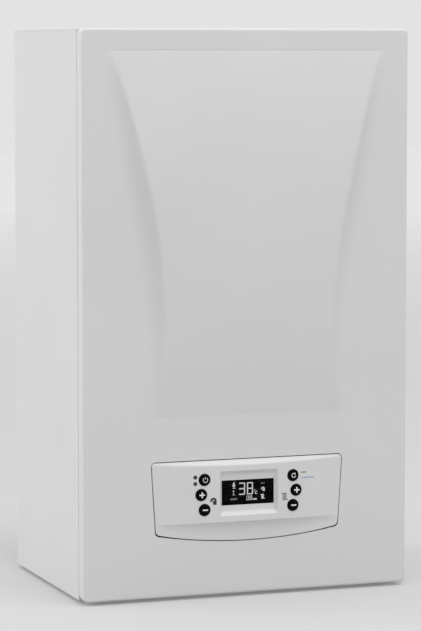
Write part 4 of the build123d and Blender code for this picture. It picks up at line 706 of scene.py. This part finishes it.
def fascia_y(x, z):
    """The panel's surface: crown, band along the top, cove under the crease and display recess."""
    bow = crown_y(x)
    chin = FRONT - EDGE_PROUD
    under = soft_max((CREASE_Z - z) / COVE_RUN, 0.02)
    y = chin + (bow - chin) * max(1 - under, 0.0) ** COVE_POWER
    band = bevel_width(x)
    y += (BEVEL_BACK - bow) * min(soft_max((z - FASCIA_TOP + band) / band, 0.5 / band), 1.0)
    side = (RECESS_W / 2 - abs(x)) / (RECESS_W / 2 - WINDOW_W / 2)
    over = (RECESS_TOP - z) / (RECESS_TOP - WINDOW_TOP)
    lower = (z - RECESS_LOW) / (WINDOW_LOW - RECESS_LOW)
    walls = [scoop(t, *shape) for t, shape in ((side, SIDE_WALL), (over, UPPER_WALL), (lower, LOWER_WALL))]
    rise = min(sum(t ** RECESS_ROUND for t in walls) ** (1 / RECESS_ROUND), 1.0)
    return y + (WINDOW_Y - bow) * (1 - rise)


def fascia_columns():
    """Places across the panel, close together at the recess and the edges."""
    inner = stations(0, WINDOW_W / 2 - 1, 4) + [WINDOW_W / 2]
    inner += [RECESS_W / 2 - d for d in (3.0, 2.2, 1.5, 0.8, 0.3, 0, -1)]
    outer = stations(RECESS_W / 2 + 3.5, FASCIA_TOP_HALF - FASCIA_CORNER_R, 4)[:-1]
    outer += [FASCIA_TOP_HALF - d for d in reversed(edge_stations(FASCIA_EDGE_R, FASCIA_CORNER_R))]
    half = inner + outer
    return [-x for x in reversed(half[1:])] + half


def fascia_rows(x):
    """Heights of one column of the panel's surface."""
    edge = edge_stations(FASCIA_EDGE_R, FASCIA_CORNER_R)
    bottom = fascia_bottom(x)
    low = [bottom + d for d in edge]
    sweep = [low[-1] + (CREASE_Z - 1 - low[-1]) * t for t in (0.25, 0.5, 0.75, 1)]
    crease = [CREASE_Z + d for d in (-0.5, -0.2, 0, 0.3, 1)]
    lip = (-1.0, 0.0, 0.4, 1.2, 2.4, 3.4, 4.0, 4.6, 5.4, 8.0)
    display = [RECESS_LOW + d for d in lip] + stations(WINDOW_LOW, WINDOW_TOP, 4)
    display += [RECESS_TOP - d for d in reversed(lip)]
    shoulder = [FASCIA_TOP - BEVEL_MID - 2.5]
    band = bevel_width(x)
    bevel = [FASCIA_TOP - band + d for d in (-1.0, -0.5, 0, 0.5)]
    brink = FASCIA_TOP - FASCIA_EDGE_R
    rim = [(bevel[-1] + brink) / 2] + [FASCIA_TOP - d for d in reversed(edge) if d <= FASCIA_EDGE_R + 0.001]
    return low + sweep + crease + display + shoulder + bevel + rim


def fascia_point(column, z):
    """A point of the panel's surface, with the column spread to the slanted sides and the corners rounded."""
    spread = max((abs(column) - RECESS_W) / (FASCIA_TOP_HALF - RECESS_W), 0.0)
    x = abs(column) - spread * (FASCIA_TOP_HALF - fascia_half(z))
    bottom = fascia_bottom(min(x, FASCIA_LOW_HALF))
    upper = z > RECESS_Z
    reach = FASCIA_TOP - z if upper else z - bottom
    p, q, inside = round_corner(fascia_half(z) - x, max(reach, 0.0), FASCIA_CORNER_R)
    y = fascia_y(x, z) + roll(max(inside, 0.0), FASCIA_EDGE_R)
    return place(math.copysign(fascia_half(z) - p, column), y, FASCIA_TOP - q if upper else bottom + q)


def make_fascia():
    across = fascia_columns()
    verts = [fascia_point(x, z) for x in across for z in fascia_rows(min(abs(x), FASCIA_LOW_HALF))]
    rows = len(verts) // len(across)
    faces = grid_faces(len(across), rows)
    ring = grid_edge(len(across), rows)
    back = FRONT + FASCIA_BACK
    moved = [Vector((verts[k].x, back * MM, verts[k].z)) for k in ring]
    faces.append(tuple(reversed(add_ring(verts, faces, ring, moved))))
    fascia = tidy_normals(mesh_from("control_panel", verts, faces))
    pocket = rounded_rectangle(WINDOW_W + 2 * POCKET_MARGIN, WINDOW_H + 2 * POCKET_MARGIN, WINDOW_Z, POCKET_R)
    window = rounded_rectangle(WINDOW_W, WINDOW_H, WINDOW_Z, WINDOW_R)
    inside = FRONT + FASCIA_SKIN + 1
    cut(fascia, prism("cavity", fascia_outline(FASCIA_WALL), FRONT + FASCIA_SKIN, back + 1))
    cut(fascia, prism("pocket", pocket, WINDOW_Y + POCKET_DEPTH, inside))
    cut(fascia, prism("window", window, WINDOW_Y - 1, inside))
    for x, z, _ in BUTTONS.values():
        cut(fascia, prism("hole", circle(x, z, BUTTON_R + BUTTON_GAP), FRONT - 20, inside))
    soften(fascia, 40)
    finish_piece(fascia, "control_box", FASCIA_PLASTIC, "white_plastic", "control_fascia")


# ================================================================ flat shapes
def bar(cx, cz, w, h, r=0.35, turn=0.0):
    """A rounded bar as x and z points, turned about its middle."""
    cos, sin = math.cos(math.radians(turn)), math.sin(math.radians(turn))
    points = rounded_rectangle(w, h, 0, min(r, w / 2.01, h / 2.01), 3)
    return [(cx + px * cos - pz * sin, cz + px * sin + pz * cos) for px, pz in points]


def arc_band(cx, cz, radius, width, start, stop, steps=28):
    """A curved band, with the angles in degrees anticlockwise from the right."""
    angles = [math.radians(a) for a in stations(start, stop, abs(stop - start) / steps)]
    outer, inner = radius + width / 2, radius - width / 2
    band = [(cx + outer * math.cos(a), cz + outer * math.sin(a)) for a in angles]
    return band + [(cx + inner * math.cos(a), cz + inner * math.sin(a)) for a in reversed(angles)]


def join(name, pieces):
    """Makes one object of several."""
    mesh = bmesh.new()
    for piece in pieces:
        mesh.from_mesh(piece.data)
        old = piece.data
        bpy.data.objects.remove(piece)
        bpy.data.meshes.remove(old)
    data = bpy.data.meshes.new(name)
    mesh.to_mesh(data)
    mesh.free()
    return new_object(name, data)


def thin_shape(name, outlines, surface_y, body, material, thick=PRINT_THICK):
    """A print or a lit figure: outlines in x and z as one thin piece on the surface at y = surface_y(x).
    Each outline stands a little further out than the one before, so that no two faces coincide."""
    pieces = []
    for k, outline in enumerate(outlines):
        depths = (-thick - LAYER_STEP * k, PRINT_BEHIND)
        loops = [[place(x, surface_y(x) + d, z) for x, z in outline] for d in depths]
        pieces.append(loft(f"{name}_{k}", loops, smooth=False))
    return finish_piece(join(name, pieces), body, material, "white_plastic")


# ================================================================ buttons
def symbol_shapes(symbol, x, z):
    if symbol == "plus":
        return [bar(x, z, PLUS_SPAN, PLUS_ARM), bar(x, z, PLUS_ARM, PLUS_SPAN)]
    if symbol == "minus":
        return [bar(x, z, MINUS_SPAN, MINUS_ARM)]
    if symbol == "power":
        return [arc_band(x, z, POWER_R, POWER_LINE, -232, 52), bar(x, z + 2.2, POWER_LINE, 2.8)]
    start, stop = RESET_TURN
    tip = math.radians(start)
    cx, cz = x + RESET_R * math.cos(tip), z + RESET_R * math.sin(tip)
    turns = [tip + a for a in (math.pi, 0.0, -2 * math.pi / 3)]
    arrow = [(cx + ARROW_R * math.cos(a), cz + ARROW_R * math.sin(a)) for a in turns]
    return [arc_band(x, z, RESET_R, RESET_LINE, start, stop), arrow]


def make_button(node, x, z, symbol):
    """Domed cap with its flange and stem, turned about its axis, and the symbol printed on it."""
    face = crown_y(x) - BUTTON_PROUD
    body = f"{node}_body"
    profile = [(r, face + d) for r, d in BUTTON_DOME]
    profile += [(r, BUTTON_FLANGE[0]) for r in (BUTTON_R, BUTTON_FLANGE_R)]
    profile += [(r, BUTTON_FLANGE[1]) for r in (BUTTON_FLANGE_R, BUTTON_STEM_R)]
    profile += [(BUTTON_STEM_R, BUTTON_STEM_END)]
    cap = loft(f"{node}_cap", [[place(px, y, pz) for px, pz in circle(x, z, r, 64)] for r, y in profile])
    soften(cap, 45)
    finish_piece(cap, body, GLOSS_BLACK, "black_plastic", node)
    shapes = symbol_shapes(symbol, x + SYMBOL_SHIFT, z)
    thin_shape(f"{node}_symbol", shapes, lambda _: face + SYMBOL_SINK, body, WHITE_PRINT, SYMBOL_THICK)


# ================================================================ display and prints
def digit(number, x, z, size):
    """A seven-segment digit as thin bars, x and z being its middle."""
    w, h, t = size
    half_w, half_h = w / 2 - t / 2, h / 2 - t / 2
    places = {
        "a": (0, half_h, 0), "d": (0, -half_h, 0), "g": (0, 0, 0),
        "b": (half_w, half_h / 2, 90), "c": (half_w, -half_h / 2, 90),
        "f": (-half_w, half_h / 2, 90), "e": (-half_w, -half_h / 2, 90),
    }
    shapes = []
    for name in SEGMENTS[number]:
        dx, dz, turn = places[name]
        length = (half_h if turn else w) - t * 0.25
        shapes.append(bar(x + dx, z + dz, length, t, t * 0.25, turn))
    return shapes


def flame(x, z, w, h):
    """A drop with a leaning tip."""
    points = []
    for k in range(24):
        a = 2 * math.pi * k / 24
        up = math.sin(a)
        pull = 1 - 0.5 * max(up, 0) ** 0.6
        lean = 0.08 * w * max(up, 0) ** 3
        reach = 0.65 if up > 0 else 0.35
        points.append((x + w / 2 * math.cos(a) * pull + lean, z - h * 0.15 + h * reach * up))
    return points


def tap_shapes(x, z, size):
    """A plain tap: bowed spout, its mouth and the body."""
    s = size / 8
    return [
        arc_band(x, z + 0.1 * s, 2.8 * s, 2.5 * s, 0, 180, 12),
        bar(x - 3.0 * s, z - 0.5 * s, 1.7 * s, 1.5 * s, 0.2 * s),
        bar(x + 1.6 * s, z - 1.9 * s, 4.4 * s, 4.8 * s, 0.4 * s),
    ]


def radiator_shapes(x, z, w, h):
    """A plain panel radiator: upright columns between two rails, with its two connections."""
    columns = [bar(x - w / 2 + w * (k + 0.5) / 4, z, w * 0.19, h, 0.3) for k in range(4)]
    rails = [bar(x, z + dz, w, h * 0.10, 0.2) for dz in (-h * 0.36, h * 0.36)]
    ends = [bar(x - side * w * 0.62, z + side * h * 0.42, w * 0.3, h * 0.14, 0.2) for side in (1, -1)]
    return columns + rails + ends


def season_shapes():
    """A snowflake above a sun."""
    snow = [bar(SEASON_X, WINTER_Z, 5.4, 1.3, 0.3, turn) for turn in (0, 60, 120)]
    snow.append(circle(SEASON_X, WINTER_Z, 2.2, 20))
    sun = [circle(SEASON_X, SUMMER_Z, SUN_R, 20)]
    for k in range(8):
        a = k * math.pi / 4
        x, z = SEASON_X + SUN_R * math.cos(a), SUMMER_Z + SUN_R * math.sin(a)
        sun.append(bar(x, z, 1.3, 0.9, 0.2, math.degrees(a)))
    return snow + sun


def dashes(x, z, pitch, count, w, h):
    """A row of plain dashes in place of small print."""
    return [bar(x + pitch * k, z, w, h, 0.3) for k in range(count)]


def make_display():
    """Lit figures of the display, on the glass of its module."""
    shown = digit("3", -6.2, 126.9, LARGE_DIGIT) + digit("8", 4.0, 126.9, LARGE_DIGIT)
    shown += [bar(9.8, 124.4, 1.5, 1.5, 0.6), arc_band(12.4, 121.4, 1.6, 0.85, 50, 310, 12)]
    shown += digit("0", 1.2, 115.3, SMALL_DIGIT) + digit("8", 5.2, 115.3, SMALL_DIGIT)
    shown += [bar(10.3, 113.5, 5.0, 1.8, 0.3), flame(-16.8, 132.4, 3.5, 6.6), bar(-16.5, 128.0, 3.6, 0.9)]
    shown += [bar(-17.1, 124.6, 2.6, 0.6), bar(-17.1, 122.2, 0.6, 5.4), bar(-17.1, 119.8, 2.6, 0.6)]
    shown += tap_shapes(20.8, 125.3, 4.9) + radiator_shapes(20.3, 116.2, 3.5, 5.8)
    thin_shape("display_figures", shown, lambda _: DISPLAY_Y, "control_box", LIT)
    dim = [bar(-16.9, 114.6, 8.8, 1.8, 0.5), bar(19.9, 132.5, 3.6, 1.2, 0.2), bar(22.6, 132.7, 1.0, 1.0, 0.2)]
    thin_shape("display_small_figures", dim, lambda _: DISPLAY_Y, "control_box", LIT_DIM)


def make_prints():
    """Marks printed on the panel beside the buttons."""
    marks = (
        ("season_marks", season_shapes(), GREY_PRINT),
        ("tap_mark", tap_shapes(-45.7, 114.9, 8.2), DARK_PRINT),
        ("radiator_mark", radiator_shapes(45.9, 115.8, 5.3, 9.2), PALE_PRINT),
        ("green_mark", dashes(68.8, 144.1, 2.4, 3, 1.7, 2.0), GREEN_PRINT),
        ("blue_mark", dashes(69.4, 137.6, 2.9, 6, 2.1, 2.2), BLUE_PRINT),
    )
    for name, shapes, ink in marks:
        thin_shape(name, shapes, lambda x: crown_y(x) - PRINT_BEHIND, "control_box", ink)


# ================================================================ finish of the CAD nodes
FINISH = {
    "white_paint": POWDER_COAT,
    "galvanised_steel": GALVANISED,
    "white_plastic": WHITE_PLASTIC,
    "black_plastic": BLACK_PLASTIC,
    "grey_plastic": GREY_PLASTIC,
    "red_plastic": RED_PLASTIC,
    "black_rubber": RUBBER,
    "display_glass": LENS,
    "display_black": DISPLAY_BLACK,
    "circuit_board": BOARD_GREEN,
    "cast_aluminium": ALUMINIUM,
    "stainless_steel": STAINLESS,
    "brass": BRASS,
    "copper": COPPER,
    "red_enamel": RED_ENAMEL,
    "dark_paint": DARK_PAINT,
    "white_ceramic": CERAMIC,
}
FINISH_BY_NODE = {"cover_seal": FOAM, "air_silencer": SILENCER}


def finish_nodes():
    """Gives each node of the frame the material of its slot in the record, or its own."""
    slots = {part["node"]: part["material_slot"] for part in frame["record"]["subparts"]}
    for name, obj in frame["nodes"].items():
        material = FINISH_BY_NODE.get(name) or FINISH[slots[name]]
        for k in range(len(obj.material_slots)):
            obj.material_slots[k].link = "OBJECT"
            obj.material_slots[k].material = material


# ================================================================ camera, light and floor
def aim(obj, target):
    obj.rotation_euler = (Vector(target) - obj.location).to_track_quat("-Z", "Y").to_euler()


def make_camera():
    data = bpy.data.cameras.new("camera")
    camera = new_object("camera", data)
    camera.location = CAMERA
    data.lens = LENS_MM
    data.clip_start = 0.1
    data.clip_end = 100
    aim(camera, TARGET)
    bpy.context.scene.camera = camera


def area_light(name, location, size, watts):
    data = bpy.data.lights.new(name, "AREA")
    data.shape = "RECTANGLE"
    data.size, data.size_y = size
    data.energy = watts
    light = new_object(name, data)
    light.location = location
    aim(light, MIDDLE)


def make_lights():
    area_light("key", *KEY)
    area_light("fill", *FILL)
    area_light("top", *TOP)
    world = bpy.data.worlds.new("studio")
    world.use_nodes = True
    background = world.node_tree.nodes["Background"]
    background.inputs["Color"].default_value = (1, 1, 1, 1)
    background.inputs["Strength"].default_value = WORLD_LEVEL
    bpy.context.scene.world = world


def shown_rays(nodes, links):
    """1 for what the camera, gloss and glass show, and 0 for the light that reaches the object."""
    ray = nodes.new("ShaderNodeLightPath")
    total = ray.outputs["Is Camera Ray"]
    for kind in ("Is Glossy Ray", "Is Transmission Ray"):
        either = nodes.new("ShaderNodeMath")
        either.operation = "MAXIMUM"
        links.new(total, either.inputs[0])
        links.new(ray.outputs[kind], either.inputs[1])
        total = either.outputs["Value"]
    return total


def make_floor():
    """Pale floor that keeps the object's shadow and glows towards its far edge, only where it is seen."""
    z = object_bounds()[0].z - FLOOR_DROP
    corners = [(x * FLOOR_SIZE, y * FLOOR_SIZE, z) for x, y in ((-1, -1), (1, -1), (1, 1), (-1, 1))]
    floor = mesh_from("studio_floor", corners, [(0, 1, 2, 3)])
    nodes, links = FLOOR.node_tree.nodes, FLOOR.node_tree.links
    shader = nodes["Principled BSDF"]
    shader.inputs["Emission Color"].default_value = (1, 1, 1, 1)
    place_node = nodes.new("ShaderNodeTexCoord")
    distance = nodes.new("ShaderNodeVectorMath")
    distance.operation = "LENGTH"
    links.new(place_node.outputs["Object"], distance.inputs[0])
    glow = ramp(nodes, links, distance.outputs["Value"], FLOOR_GLOW, FAR_GLOW, *FAR)
    level = nodes.new("ShaderNodeMath")
    level.operation = "MULTIPLY"
    links.new(shown_rays(nodes, links), level.inputs[0])
    links.new(glow, level.inputs[1])
    links.new(level.outputs["Value"], shader.inputs["Emission Strength"])
    floor.data.materials.append(FLOOR)


make_cover()
for side in (-1, 1):
    make_cover_tab(side)
make_fascia()
for node, (x, z, symbol) in BUTTONS.items():
    make_button(node, x, z, symbol)
make_display()
make_prints()
finish_nodes()
make_camera()
make_lights()
make_floor()

bpy.context.scene.view_settings.view_transform = "Standard"
